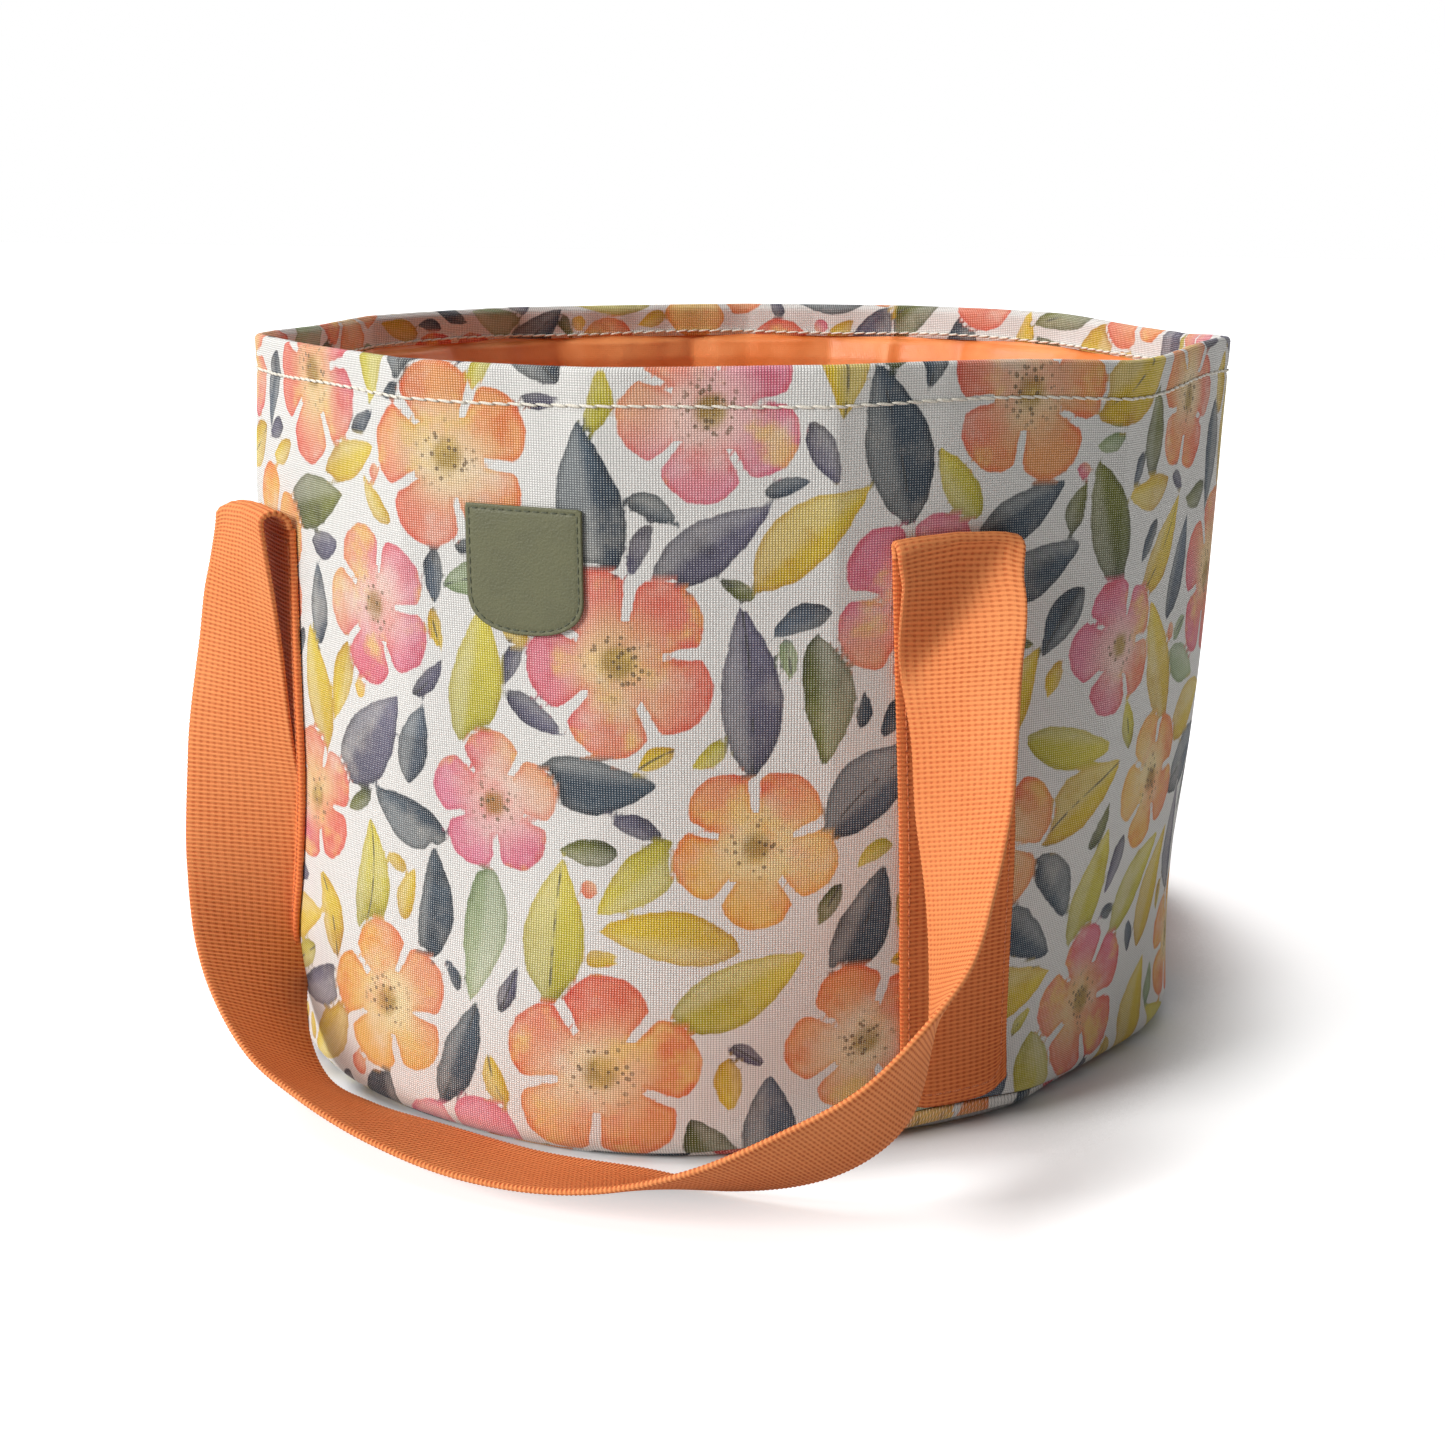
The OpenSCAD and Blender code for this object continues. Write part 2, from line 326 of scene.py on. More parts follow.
def print_layout(width, height, seed):
    """Motifs that fill a piece of cloth without touching each other."""
    draw = random.Random(seed)
    cell = 2 * MM
    grid_x, grid_y = np.meshgrid(np.arange(0, width, cell), np.arange(0, height, cell), indexing="ij")
    room = np.full(grid_x.shape, 40 * MM)
    motifs = []

    def keep(motif):
        motifs.append(motif)
        near = (np.abs(grid_x - motif["x"]) < 70 * MM) & (np.abs(grid_y - motif["y"]) < 70 * MM)
        room[near] = np.minimum(room[near], motif_edge(grid_x[near], grid_y[near], motif))

    def fits(motif, along, across):
        c, s = math.cos(motif["angle"]), math.sin(motif["angle"])
        px, py = motif["x"] + along * c - across * s, motif["y"] + along * s + across * c
        i = np.clip((px / cell).round().astype(int), 0, room.shape[0] - 1)
        j = np.clip((py / cell).round().astype(int), 0, room.shape[1] - 1)
        return room[i, j].min() > print_clear

    def leaf(x, y, angles, size, hidden=0.0):
        motif = {"kind": "leaf", "x": x, "y": y, "size": size}
        motif["width"] = size * draw.uniform(0.34, 0.48)
        motif["bend"] = draw.uniform(-0.35, 0.35)
        motif["tint"] = draw.choices(LEAF_TINTS, LEAF_ODDS)[0]
        motif["vein"] = draw.random() < 0.4
        along = np.repeat(np.linspace(hidden, 1, 9), 3) * size
        across = leaf_half(motif, along / size) * np.tile([-1, 0, 1], 9) + leaf_bow(motif, along)
        for angle in angles:
            motif["angle"] = angle
            if fits(motif, along, across):
                keep(motif)
                return

    for row in range(int(height / blossom_row) + 2):
        for column in range(int(width / blossom_column) + 2):
            x = (column + 0.5 * (row % 2)) * blossom_column + draw.uniform(-12, 12) * MM
            y = row * blossom_row - 24 * MM + draw.uniform(-10, 10) * MM
            motif = {"kind": "blossom", "x": x, "y": y, "angle": draw.uniform(0, 2 * math.pi)}
            motif["size"] = draw.uniform(*BLOSSOM_SIZES) * MM
            motif["tint"] = draw.choice(BLOSSOM_TINTS)
            motif["lean"] = draw.uniform(0, 2 * math.pi)
            keep(motif)
    blossoms = list(motifs)
    for motif in blossoms:
        for spray in range(sprays):
            angle = draw.uniform(0, 2 * math.pi)
            reach = 0.85 * motif["size"]
            x, y = motif["x"] + reach * math.cos(angle), motif["y"] + reach * math.sin(angle)
            for side in (0, 0.7, -0.7):
                leaf(x, y, [angle + side + draw.uniform(-0.2, 0.2)], draw.uniform(*SPRAY_SIZES) * MM, 0.36)
    for longest, shortest, tries in LEAF_PASSES:
        for attempt in range(tries):
            x, y = draw.uniform(0, width), draw.uniform(0, height)
            turns = [draw.uniform(0, 2 * math.pi) for turn in range(6)]
            leaf(x, y, turns, draw.uniform(shortest, longest) * MM, 0.22)
    for attempt in range(berry_tries):
        motif = {"kind": "berry", "x": draw.uniform(0, width), "y": draw.uniform(0, height), "angle": 0}
        motif["size"] = draw.uniform(*BERRY_SIZES) * MM
        motif["tint"] = draw.choice(BERRY_TINTS)
        ring = np.linspace(0, 2 * math.pi, 9)
        if fits(motif, motif["size"] * np.cos(ring), motif["size"] * np.sin(ring)):
            keep(motif)
    return motifs


def washed(first, second, share):
    """Colours that run from the first to the second as the share goes from 0 to 1."""
    first, second = np.array(first), np.array(second)
    return first + (second - first) * np.clip(share, 0, 1)[:, None]


def motif_tint(x, y, motif):
    """Colour of a motif at cloth places, with its washes of paint."""
    u, v = turned(x, y, motif)
    size, tints = motif["size"], motif["tint"]
    if motif["kind"] == "berry":
        return washed(tints, (0.92, 0.70, 0.45), (u + v) / size * 0.4 + 0.2)
    if motif["kind"] == "leaf":
        colour = washed(tints[0], tints[1], u / size)
        return washed(colour, (0.90, 0.88, 0.80), 0.22 * eased(v, -1 * MM, 2 * MM))
    r, theta = np.hypot(u, v) / size, np.arctan2(v, u)
    colour = washed(tints[0], tints[1], eased(r, 0.15, 0.9) + 0.25 * np.sin(theta - motif["lean"]))
    blush = eased(np.cos(theta + motif["lean"]), 0.1, 1) * eased(r, 0.2, 0.8)
    colour = washed(colour, tints[2], 0.8 * blush)
    return washed(colour, (0.42, 0.26, 0.03), 0.9 * (1 - eased(r, 0.12, 0.22)))


def paint_print(piece, x, y, seed):
    """Stores the printed design on a piece's points, given their cloth places."""
    width, height = x.max() + 0.01, y.max() + 0.01
    edge = np.full(len(x), print_reach)
    line = np.full(len(x), no_vein)
    core = np.zeros(len(x))
    tint = np.full((len(x), 4), 1.0)
    for motif in print_layout(width, height, seed):
        reach = motif["size"] + print_reach
        near = np.nonzero((np.abs(x - motif["x"]) < reach) & (np.abs(y - motif["y"]) < reach))[0]
        outside = np.maximum(motif_edge(x[near], y[near], motif), print_gap - edge[near])
        won = outside < edge[near]
        near = near[won]
        edge[near] = outside[won]
        tint[near, :3] = motif_tint(x[near], y[near], motif)
        tint[near, 3] = 1 if motif["kind"] == "blossom" else 0
        u, v = turned(x[near], y[near], motif)
        size = motif["size"]
        veined = motif["kind"] == "leaf" and motif["vein"]
        line[near] = v - leaf_bow(motif, u) if veined else no_vein
        core[near] = 1 - eased(np.hypot(u, v) / size, 0.2, 0.5) if motif["kind"] == "blossom" else 0
    data = piece.data
    for name, values in (("print_edge", edge), ("print_line", line), ("print_core", core)):
        data.attributes.new(name, "FLOAT", "POINT").data.foreach_set("value", values.astype(np.float32))
    data.attributes.new("print_tint", "FLOAT_COLOR", "POINT").data.foreach_set("color", tint.ravel())


# Materials

# Distances between the canvas's threads, and between the webbing's ribs and yarns
warp_pitch, weft_pitch = 0.79 * MM, 0.66 * MM
rib_pitch, yarn_pitch = 1.32 * MM, 2.35 * MM


class Finish:
    """A material or world built from nodes; each method adds one node and gives its output."""

    def __init__(self, name, world=False):
        self.owner = (bpy.data.worlds if world else bpy.data.materials).new(name)
        self.owner.use_nodes = True
        self.tree = self.owner.node_tree
        self.tree.nodes.clear()

    def put(self, socket, value):
        if isinstance(value, bpy.types.NodeSocket):
            self.tree.links.new(value, socket)
        else:
            socket.default_value = value

    def node(self, kind, **settings):
        made = self.tree.nodes.new(kind)
        for key, value in settings.items():
            setattr(made, key, value)
        return made

    def math(self, operation, a, b=0.0, c=0.0):
        made = self.node("ShaderNodeMath", operation=operation)
        for socket, value in zip(made.inputs, (a, b, c)):
            self.put(socket, value)
        return made.outputs[0]

    def ranged(self, value, low, high, to_low=0.0, to_high=1.0):
        made = self.node("ShaderNodeMapRange", interpolation_type="SMOOTHSTEP")
        for socket, given in zip(made.inputs, (value, low, high, to_low, to_high)):
            self.put(socket, given)
        return made.outputs[0]

    def mix(self, factor, a, b, blend="MIX"):
        made = self.node("ShaderNodeMix", data_type="RGBA", blend_type=blend)
        for index, value in ((0, factor), (6, a), (7, b)):
            self.put(made.inputs[index], value)
        return made.outputs[2]

    def noise(self, place, scale, detail=3.0, roughness=0.55):
        made = self.node("ShaderNodeTexNoise")
        self.put(made.inputs["Vector"], place)
        for key, value in (("Scale", scale), ("Detail", detail), ("Roughness", roughness)):
            made.inputs[key].default_value = value
        return made.outputs["Fac"]

    def cells(self, place, scale):
        made = self.node("ShaderNodeTexVoronoi")
        self.put(made.inputs["Vector"], place)
        made.inputs["Scale"].default_value = scale
        return made.outputs["Distance"]

    def attribute(self, name, output="Fac"):
        return self.node("ShaderNodeAttribute", attribute_name=name).outputs[output]

    def cloth_uv(self):
        place = self.node("ShaderNodeUVMap", uv_map="cloth").outputs[0]
        split = self.node("ShaderNodeSeparateXYZ")
        self.put(split.inputs[0], place)
        return place, split.outputs[0], split.outputs[1]

    def object_place(self):
        return self.node("ShaderNodeTexCoord").outputs["Object"]

    def wave(self, along, pitch, phase=0.0):
        turns = self.math("MULTIPLY_ADD", along, 2 * math.pi / pitch, phase)
        return self.math("SINE", turns)

    def bump(self, height, distance, strength=1.0, normal=None):
        made = self.node("ShaderNodeBump")
        made.inputs["Strength"].default_value = strength
        made.inputs["Distance"].default_value = distance
        self.put(made.inputs["Height"], height)
        if normal is not None:
            self.put(made.inputs["Normal"], normal)
        return made.outputs[0]

    def done(self, **sockets):
        shader = self.node("ShaderNodeBsdfPrincipled")
        for key, value in sockets.items():
            self.put(shader.inputs[key.replace("_", " ")], value)
        return self.shown(shader)

    def shown(self, shader, output="ShaderNodeOutputMaterial"):
        self.put(self.node(output).inputs["Surface"], shader.outputs[0])
        return self.owner


def grey(value):
    return (value, value, value, 1)


def printed_canvas():
    """Off-white canvas in a plain weave, printed with washes of paint."""
    m = Finish("printed_canvas")
    place, across, up = m.cloth_uv()
    warp = m.math("ABSOLUTE", m.wave(across, 2 * warp_pitch))
    weft = m.math("ABSOLUTE", m.wave(up, 2 * weft_pitch))
    thread = m.math("MULTIPLY", warp, weft)
    weave = m.math("MULTIPLY_ADD", m.noise(place, 700), 0.4, thread)
    wobble = m.math("MULTIPLY_ADD", m.noise(place, 180, 4), 2.0 * MM, -1.0 * MM)
    edge = m.math("ADD", m.attribute("print_edge"), wobble)
    inked = m.ranged(edge, 0.3 * MM, -0.3 * MM)
    tint = m.attribute("print_tint", "Color")
    petal = m.attribute("print_tint", "Alpha")
    red = m.math("MULTIPLY", petal, m.ranged(m.noise(place, 34, 4, 0.6), 0.48, 0.66, 0.0, 0.7))
    tint = m.mix(red, tint, m.mix(1.0, tint, (0.98, 0.52, 0.50, 1), "MULTIPLY"))
    gold = m.math("MULTIPLY", petal, m.ranged(m.noise(place, 47, 4, 0.6), 0.52, 0.68, 0.0, 0.75))
    tint = m.mix(gold, tint, (0.93, 0.62, 0.17, 1))
    pale = m.ranged(m.noise(place, 42, 5, 0.6), 0.50, 0.74, 0.0, 0.5)
    pale = m.math("MULTIPLY", pale, m.math("MULTIPLY_ADD", petal, 0.5, 0.5))
    tint = m.mix(pale, tint, (0.93, 0.84, 0.70, 1))
    deep = m.ranged(m.noise(place, 75, 5, 0.6), 0.50, 0.74, 0.0, 0.6)
    tint = m.mix(deep, tint, tint, "MULTIPLY")
    rim = m.math("MULTIPLY", m.ranged(edge, -2.2 * MM, -0.3 * MM), 0.5)
    tint = m.mix(rim, tint, tint, "MULTIPLY")
    vein = m.ranged(m.math("ABSOLUTE", m.attribute("print_line")), 0.6 * MM, 0.15 * MM)
    vein = m.math("MULTIPLY", vein, m.ranged(m.noise(place, 120), 0.40, 0.56))
    tint = m.mix(m.math("MULTIPLY", vein, 0.75), tint, (0.05, 0.05, 0.045, 1))
    stamen = m.math("MULTIPLY", m.attribute("print_core"), m.ranged(m.cells(place, 420), 0.34, 0.24))
    tint = m.mix(m.math("MULTIPLY", stamen, 0.8), tint, (0.16, 0.09, 0.03, 1))
    colour = m.mix(inked, (0.86, 0.84, 0.80, 1), tint)
    colour = m.mix(m.ranged(weave, 0.85, 1.25, 0.0, 0.6), colour, (0.92, 0.91, 0.88, 1))
    # The gaps between threads are painted darker: painted shade
    thread_gap_shade = m.ranged(thread, 0.45, 0.0)
    colour = m.mix(thread_gap_shade, colour, m.mix(1.0, colour, grey(0.5), "MULTIPLY"))
    normal = m.bump(weave, 0.25 * MM, 0.8)
    normal = m.bump(m.noise(place, 35, 4), 1.2 * MM, 0.35, normal)
    return m.done(Base_Color=colour, Roughness=0.88, Normal=normal, Sheen_Weight=0.08,
                  Specular_IOR_Level=0.25)


def ribbed_webbing(name, raised, valley_shade, worn):
    """Orange webbing: close ribs across it, each a row of small yarn bumps, with painted shade in the valleys
    between them.
    """
    m = Finish(name)
    place, across, along = m.cloth_uv()
    rib = m.math("MULTIPLY_ADD", m.wave(along, rib_pitch, math.pi / 2), 0.5, 0.5)
    yarn = m.math("MULTIPLY_ADD", m.wave(across, yarn_pitch), 0.5, 0.5)
    strand = m.math("MULTIPLY_ADD", m.wave(across, yarn_pitch / 4, 1.0), 0.5, 0.5)
    valley = m.math("SUBTRACT", 1.0, rib)
    pit = m.math("MULTIPLY", valley, m.math("POWER", yarn, 2.0))
    shade = m.math("MULTIPLY_ADD", pit, 0.36, m.math("MULTIPLY", valley, 0.36))
    shade = m.math("MULTIPLY_ADD", m.noise(place, 900), 0.5, m.math("SUBTRACT", shade, 0.2))
    # The rib valleys and the pits between yarns are painted darker towards the valley colour: painted shade
    colour = m.mix(m.ranged(shade, 0.0, 0.75), raised, valley_shade)
    colour = m.mix(m.ranged(m.noise(place, 25), 0.35, 0.7, 0.0, 0.15), colour, worn)
    height = m.math("MULTIPLY_ADD", pit, -0.7, m.math("MULTIPLY", rib, 0.6))
    height = m.math("MULTIPLY_ADD", strand, 0.2, height)
    height = m.math("MULTIPLY_ADD", m.noise(place, 1400), 0.3, height)
    return m.done(Base_Color=colour, Roughness=0.78, Normal=m.bump(height, 0.22 * MM, 0.8),
                  Specular_IOR_Level=0.15)


def coated_lining():
    """Thin orange cloth with a smooth coating and fine wrinkles."""
    m = Finish("coated_lining")
    place, across, up = m.cloth_uv()
    soft = m.noise(place, 30, 4)
    colour = m.mix(m.ranged(soft, 0.3, 0.7), (0.71, 0.185, 0.035, 1), (0.85, 0.31, 0.10, 1))
    threads = m.math("ADD", m.wave(across, 0.7 * MM), m.wave(up, 0.7 * MM))
    normal = m.bump(threads, 0.02 * MM, 0.5)
    normal = m.bump(m.noise(place, 90, 5, 0.6), 1.0 * MM, 0.5, normal)
    rough = m.ranged(m.noise(place, 60), 0.3, 0.7, 0.42, 0.54)
    return m.done(Base_Color=colour, Roughness=rough, Normal=normal, Specular_IOR_Level=0.4)


def olive_leatherette():
    """Matt olive label material with a fine grain."""
    m = Finish("olive_leatherette")
    place = m.object_place()
    grain = m.cells(place, 1500)
    tone = m.noise(place, 160, 5)
    colour = m.mix(m.ranged(tone, 0.3, 0.7), (0.102, 0.102, 0.050, 1), (0.122, 0.122, 0.062, 1))
    colour = m.mix(m.ranged(grain, 0.5, 0.1, 0.0, 0.25), colour, (0.07, 0.075, 0.035, 1))
    height = m.math("MULTIPLY_ADD", m.noise(place, 900), 0.6, grain)
    rough = m.ranged(tone, 0.3, 0.7, 0.5, 0.66)
    return m.done(Base_Color=colour, Roughness=rough, Normal=m.bump(height, 0.16 * MM, 0.7),
                  Specular_IOR_Level=0.4)


def sewing_thread(name, colour, shade):
    """Twisted sewing thread."""
    m = Finish(name)
    place = m.object_place()
    twist = m.noise(place, 2600, 2)
    tone = m.mix(m.ranged(twist, 0.35, 0.65), shade, colour)
    return m.done(Base_Color=tone, Roughness=0.7, Normal=m.bump(twist, 0.1 * MM, 0.6), Sheen_Weight=0.2)


def grey_padding():
    """Soft needled padding."""
    m = Finish("grey_padding")
    place = m.object_place()
    fluff = m.noise(place, 700, 6, 0.7)
    colour = m.mix(fluff, (0.55, 0.55, 0.52, 1), (0.80, 0.80, 0.77, 1))
    return m.done(Base_Color=colour, Roughness=0.95, Normal=m.bump(fluff, 0.8 * MM, 0.8))


def grey_board():
    """Pressed board with specks."""
    m = Finish("grey_board")
    place = m.object_place()
    speck = m.noise(place, 900, 4, 0.7)
    colour = m.mix(m.ranged(speck, 0.35, 0.7), (0.20, 0.195, 0.185, 1), (0.36, 0.35, 0.335, 1))
    return m.done(Base_Color=colour, Roughness=0.8, Normal=m.bump(speck, 0.1 * MM, 0.5))


CANVAS = printed_canvas()
WEBBING = ribbed_webbing(
    "handle_webbing", raised=(0.83, 0.295, 0.10, 1), valley_shade=(0.54, 0.115, 0.035, 1), worn=(0.90, 0.40, 0.16, 1))
# The sewn strips are the handles' webbing painted redder and darker: painted shade
SHADED_STRIP_WEBBING = ribbed_webbing(
    "strip_webbing_painted_shade", raised=(0.82, 0.245, 0.075, 1), valley_shade=(0.52, 0.095, 0.026, 1), worn=(0.88, 0.33, 0.12, 1))
LINING = coated_lining()
LABEL = olive_leatherette()
WHITE_THREAD = sewing_thread("off_white_thread", (0.86, 0.82, 0.72, 1), (0.62, 0.56, 0.46, 1))
ORANGE_THREAD = sewing_thread("orange_thread", (0.80, 0.26, 0.08, 1), (0.52, 0.12, 0.03, 1))
GREEN_THREAD = sewing_thread("dark_green_thread", (0.075, 0.085, 0.04, 1), (0.03, 0.035, 0.016, 1))


def finished(piece, material, node):
    """Gives a piece of the bag its finish and slot, hangs it on the bag's body, and hides the frame piece
    that it stands for.
    """
    piece.data.materials.append(material)
    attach(piece, "bag")
    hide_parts(node)
    return piece


# Canvas, padding and lining

wall_columns = 640
# First ring of the base, as a share of its radius, and where its middle lies on the cloth it is cut from
centre_share = 0.004
base_cloth_centre = 0.2
# How far in from the wall's outside the padding's two faces and the lining lie
padding_out, padding_in, padding_taper = 1.2 * MM, 3.4 * MM, 1.9 * MM
lining_inset, lining_tucked = 4.0 * MM, 2.1 * MM


def all_round(columns):
    """Angles from the front, evenly round the bag from the back."""
    return np.arange(columns) * 2 * math.pi / columns - math.pi


def canvas_wall():
    """Printed outer wall: up the outside, over the rim and down inside as the hem."""
    roll_z = foot_round_h * (1 - np.cos(np.linspace(0, math.pi / 2, 9, endpoint=False)))
    outside_z = np.concatenate([roll_z, np.linspace(foot_round_h, rim_z, 98)])
    profile = [(z, 0) for z in outside_z]
    for turn in np.radians(np.arange(22.5, 180, 22.5)):
        profile.append((rim_z + hem_half * math.sin(turn), hem_half * (math.cos(turn) - 1)))
    facing_z = np.linspace(rim_z, bag_h - hem_depth, 8)
    bulge = 0.5 * MM * eased(np.abs(facing_z - bag_h + stitch_drop), 0, 4 * MM)
    profile += [(z, -2 * hem_half - b) for z, b in zip(facing_z, bulge)]
    face_rows = len(profile)
    profile += [(z, canvas_t - 2 * hem_half - b) for z, b in zip(facing_z[::-1], bulge[::-1])]
    profile += [(z, -canvas_t) for z in outside_z[::-12]]
    profile = np.array(profile)
    phi = all_round(wall_columns)
    height = profile[:, :1] + seam_z(phi) * (1 - eased(profile[:, :1], 0, 40 * MM))
    rolled = 1 - np.clip(profile[:, :1] / foot_round_h, 0, 1)
    tuck = foot_tuck(phi) * (1 - np.sqrt(1 - rolled ** 2))
    rings = on_wall(phi[None, :], height, profile[:, 1:] - tuck)
    up = path_length(np.stack([profile[:, 1], profile[:, 0]], axis=1))
    up[face_rows:] = np.interp(profile[face_rows:, 0], outside_z, up[:len(outside_z)])
    across = np.arange(wall_columns + 1) * 2 * math.pi / wall_columns * (base_r + rim_r) / 2
    uv = np.stack(np.meshgrid(across, np.append(up, up[0])), axis=-1)
    piece = round_mesh("canvas_wall", rings, uv, closed=True)
    place = uv[:-1, :-1].reshape(-1, 2)
    paint_print(piece, place[:, 0], place[:, 1], seed=11)
    return finished(piece, CANVAS, "outer_wall")


def canvas_base():
    """Printed base: a flat disc whose rounded edge meets the wall at the seam."""
    phi = all_round(360)
    seam = seam_z(phi)
    edge = cone_r(seam) + slump(phi, seam) + 0.5 * MM - foot_tuck(phi)
    turn = np.radians(np.linspace(0, 90, 10))[:, None]
    flat = np.linspace(centre_share, 1, 46, endpoint=False)[:, None]
    reach = np.concatenate([flat * (edge - seam), edge - seam + seam * np.sin(turn)])
    rise = np.concatenate([0 * flat * seam, seam * (1 - np.cos(turn))])
    inner = np.arange(len(reach) - 2, -1, -5)
    reach = np.concatenate([reach, reach[inner] - canvas_t])
    rise = np.concatenate([rise, np.maximum(rise[inner], canvas_t)])
    reach[-1] = np.maximum(reach[-1], 3 * MM)
    rings = np.stack([reach * np.sin(phi), -reach * np.cos(phi), rise], axis=-1)
    around = np.append(phi, phi[0])
    spread = path_length(np.stack([reach[:, 0], rise[:, 0]], axis=1))[:, None] + 4 * MM
    place = np.stack([spread * np.sin(around), -spread * np.cos(around)], axis=-1) + base_cloth_centre
    piece = round_mesh("canvas_base", rings, place, poles=True)
    spots = np.vstack([place[:, :-1].reshape(-1, 2), np.full((2, 2), base_cloth_centre)])
    paint_print(piece, spots[:, 0], spots[:, 1], seed=23)
    return finished(piece, CANVAS, "outer_base")


def wall_padding():
    """Soft layer between the canvas and the lining."""
    z = np.linspace(seam_h + 1 * MM, bag_h - hem_depth - 2 * MM, 40)
    thin = padding_taper * eased(z, bag_h - hem_depth - 16 * MM, bag_h - hem_depth - 5 * MM)
    profile = [(h, -padding_out) for h in z]
    profile += [(h, t - padding_in) for h, t in zip(z[::-1], thin[::-1])]
    profile = np.array(profile)
    phi = all_round(180)
    rings = on_wall(phi[None, :], profile[:, :1], profile[:, 1:])
    uv = np.zeros((len(profile) + 1, 181, 2))
    piece = round_mesh("wall_padding", rings, uv, closed=True)
    return finished(piece, grey_padding(), "wall_interlining")


def stiff_board():
    """Pressed board under the base lining, with worn edges, trimmed where the wall is drawn in."""
    low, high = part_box("base_board")
    phi = all_round(180)
    edge = cone_r(low.z) + slump(phi, np.full(len(phi), low.z)) - foot_tuck(phi) - canvas_t
    edge = np.minimum(high.x, edge)
    wear = 0.5 * MM
    section = [(share, 0, low.z) for share in np.linspace(0.1, 0.9, 5)]
    section += [(1, wear, low.z), (1, 0, low.z + wear), (1, 0, high.z - wear), (1, wear, high.z)]
    section += [(share, 0, high.z) for share in np.linspace(0.9, 0.1, 5)]
    share, inset, z = np.array(section).T[:, :, None]
    r = share * edge - inset
    rings = np.stack([r * np.sin(phi), -r * np.cos(phi), z + 0 * r], axis=-1)
    piece = round_mesh("stiff_board", rings, np.zeros((len(section), len(phi) + 1, 2)), poles=True)
    return finished(piece, grey_board(), "base_board")


# Where the lining is caught at the hem, in degrees, with slack panels between
LINING_TACKS = [16, 37, 58, 80, 101, 124, 148, 169, 190, 211, 232, 250, 272, 294, 315, 336, 356, 376]
panel_slack = 4.2 * MM
# Smaller wrinkles: how many go round, their lean in degrees from rim to base, and their greatest rise
LINING_WRINKLES = [(29, 14, 1.2 * MM), (41, -30, 1.0 * MM), (53, 45, 0.7 * MM)]


def lining_fold(phi, z):
    """How far the slack lining stands in from the wall: panels that swell between sharp creases."""
    up = z / bag_h
    degrees = (np.degrees(phi) + 4 * (1 - up) - LINING_TACKS[0]) % 360 + LINING_TACKS[0]
    panel = np.searchsorted(LINING_TACKS, degrees, side="right").clip(1, len(LINING_TACKS) - 1)
    start, stop = np.array(LINING_TACKS)[panel - 1], np.array(LINING_TACKS)[panel]
    share = (degrees - start) / (stop - start)
    depth = panel_slack * 4 * share * (1 - share)
    draw = random.Random(5)
    for count, lean, tall in LINING_WRINKLES:
        step = 360 / count
        creases = [step * (k + draw.uniform(0.1, 0.9)) for k in range(count)]
        rises = [draw.uniform(0, tall) for k in range(count)]
        depth = depth + np.interp(degrees + lean * (1 - up), creases, rises, period=360)
    return depth * eased(up, 0.0, 0.08)


def lining_wall():
    """Coated lining of the wall, tucked up behind the hem."""
    hem_foot = bag_h - hem_depth
    z = np.linspace(lining_floor_z + 0.8 * MM, hem_foot - 10 * MM, 70, endpoint=False)
    z = np.concatenate([z, np.linspace(hem_foot - 10 * MM, hem_foot + 4.5 * MM, 24)])
    inset = lining_inset - lining_tucked * eased(z, hem_foot - 9 * MM, hem_foot - 1 * MM)
    phi = all_round(600)
    slack = 1 - eased(z, hem_foot - 2.5 * MM, hem_foot + 1 * MM)
    folds = lining_fold(phi[None, :], z[:, None]) * slack[:, None]
    near = on_wall(phi[None, :], z[:, None], -inset[:, None] - folds)
    far = on_wall(phi[None, :], z[:, None], lining_t - inset[:, None] - folds)
    rings = np.concatenate([far[::6], near[::-1]])
    up = np.concatenate([z[::6], z[::-1]])
    across = np.arange(601) * 2 * math.pi / 600 * base_r
    uv = np.stack(np.meshgrid(across, np.append(up, up[0])), axis=-1)
    piece = round_mesh("lining_wall_cloth", rings, uv, closed=True)
    return finished(piece, LINING, "lining_wall")


def lining_base():
    """Coated lining over the base board."""
    share = np.linspace(0.03, 1, 46)
    phi = all_round(200)
    edge = cone_r(0) + slump(phi, np.full(200, lining_floor_z)) - 4.8 * MM
    r = share[:, None] * np.minimum(edge, lining_floor_r)
    x, y = r * np.sin(phi), -r * np.cos(phi)
    swell = 0.5 * MM * np.sin(43 * x + 31 * y) * np.sin(37 * y - 19 * x + 1) + 0.5 * MM
    draw = random.Random(9)
    for crease in range(16):
        angle, place = draw.uniform(0, math.pi), draw.uniform(-0.11, 0.11)
        along = x * math.cos(angle) + y * math.sin(angle)
        off = np.abs(y * math.cos(angle) - x * math.sin(angle) - place)
        centre, half = draw.uniform(-0.08, 0.08), draw.uniform(0.02, 0.06)
        swell = swell + 0.8 * MM * np.exp(-off / (3 * MM)) * hump(along, centre, half)
    swell = swell * (1 - eased(share, 0.92, 1))[:, None]
    low = np.stack([x, y, np.full(x.shape, lining_floor_z)], axis=-1)
    high = np.stack([x, y, lining_floor_z + lining_t + swell], axis=-1)
    rings = np.concatenate([low[::5], high[::-1]])
    spread = np.concatenate([share[::5], share[::-1]])[:, None] * lining_floor_r
    around = np.append(phi, phi[0])
    uv = np.stack([spread * np.sin(around), -spread * np.cos(around)], axis=-1)
    piece = round_mesh("lining_base_cloth", rings, uv, poles=True)
    return finished(piece, LINING, "lining_base")


# Webbing

rib_rise = 0.09 * MM
rows_per_rib = 4
strip_length = strip_top_z - 8 * MM
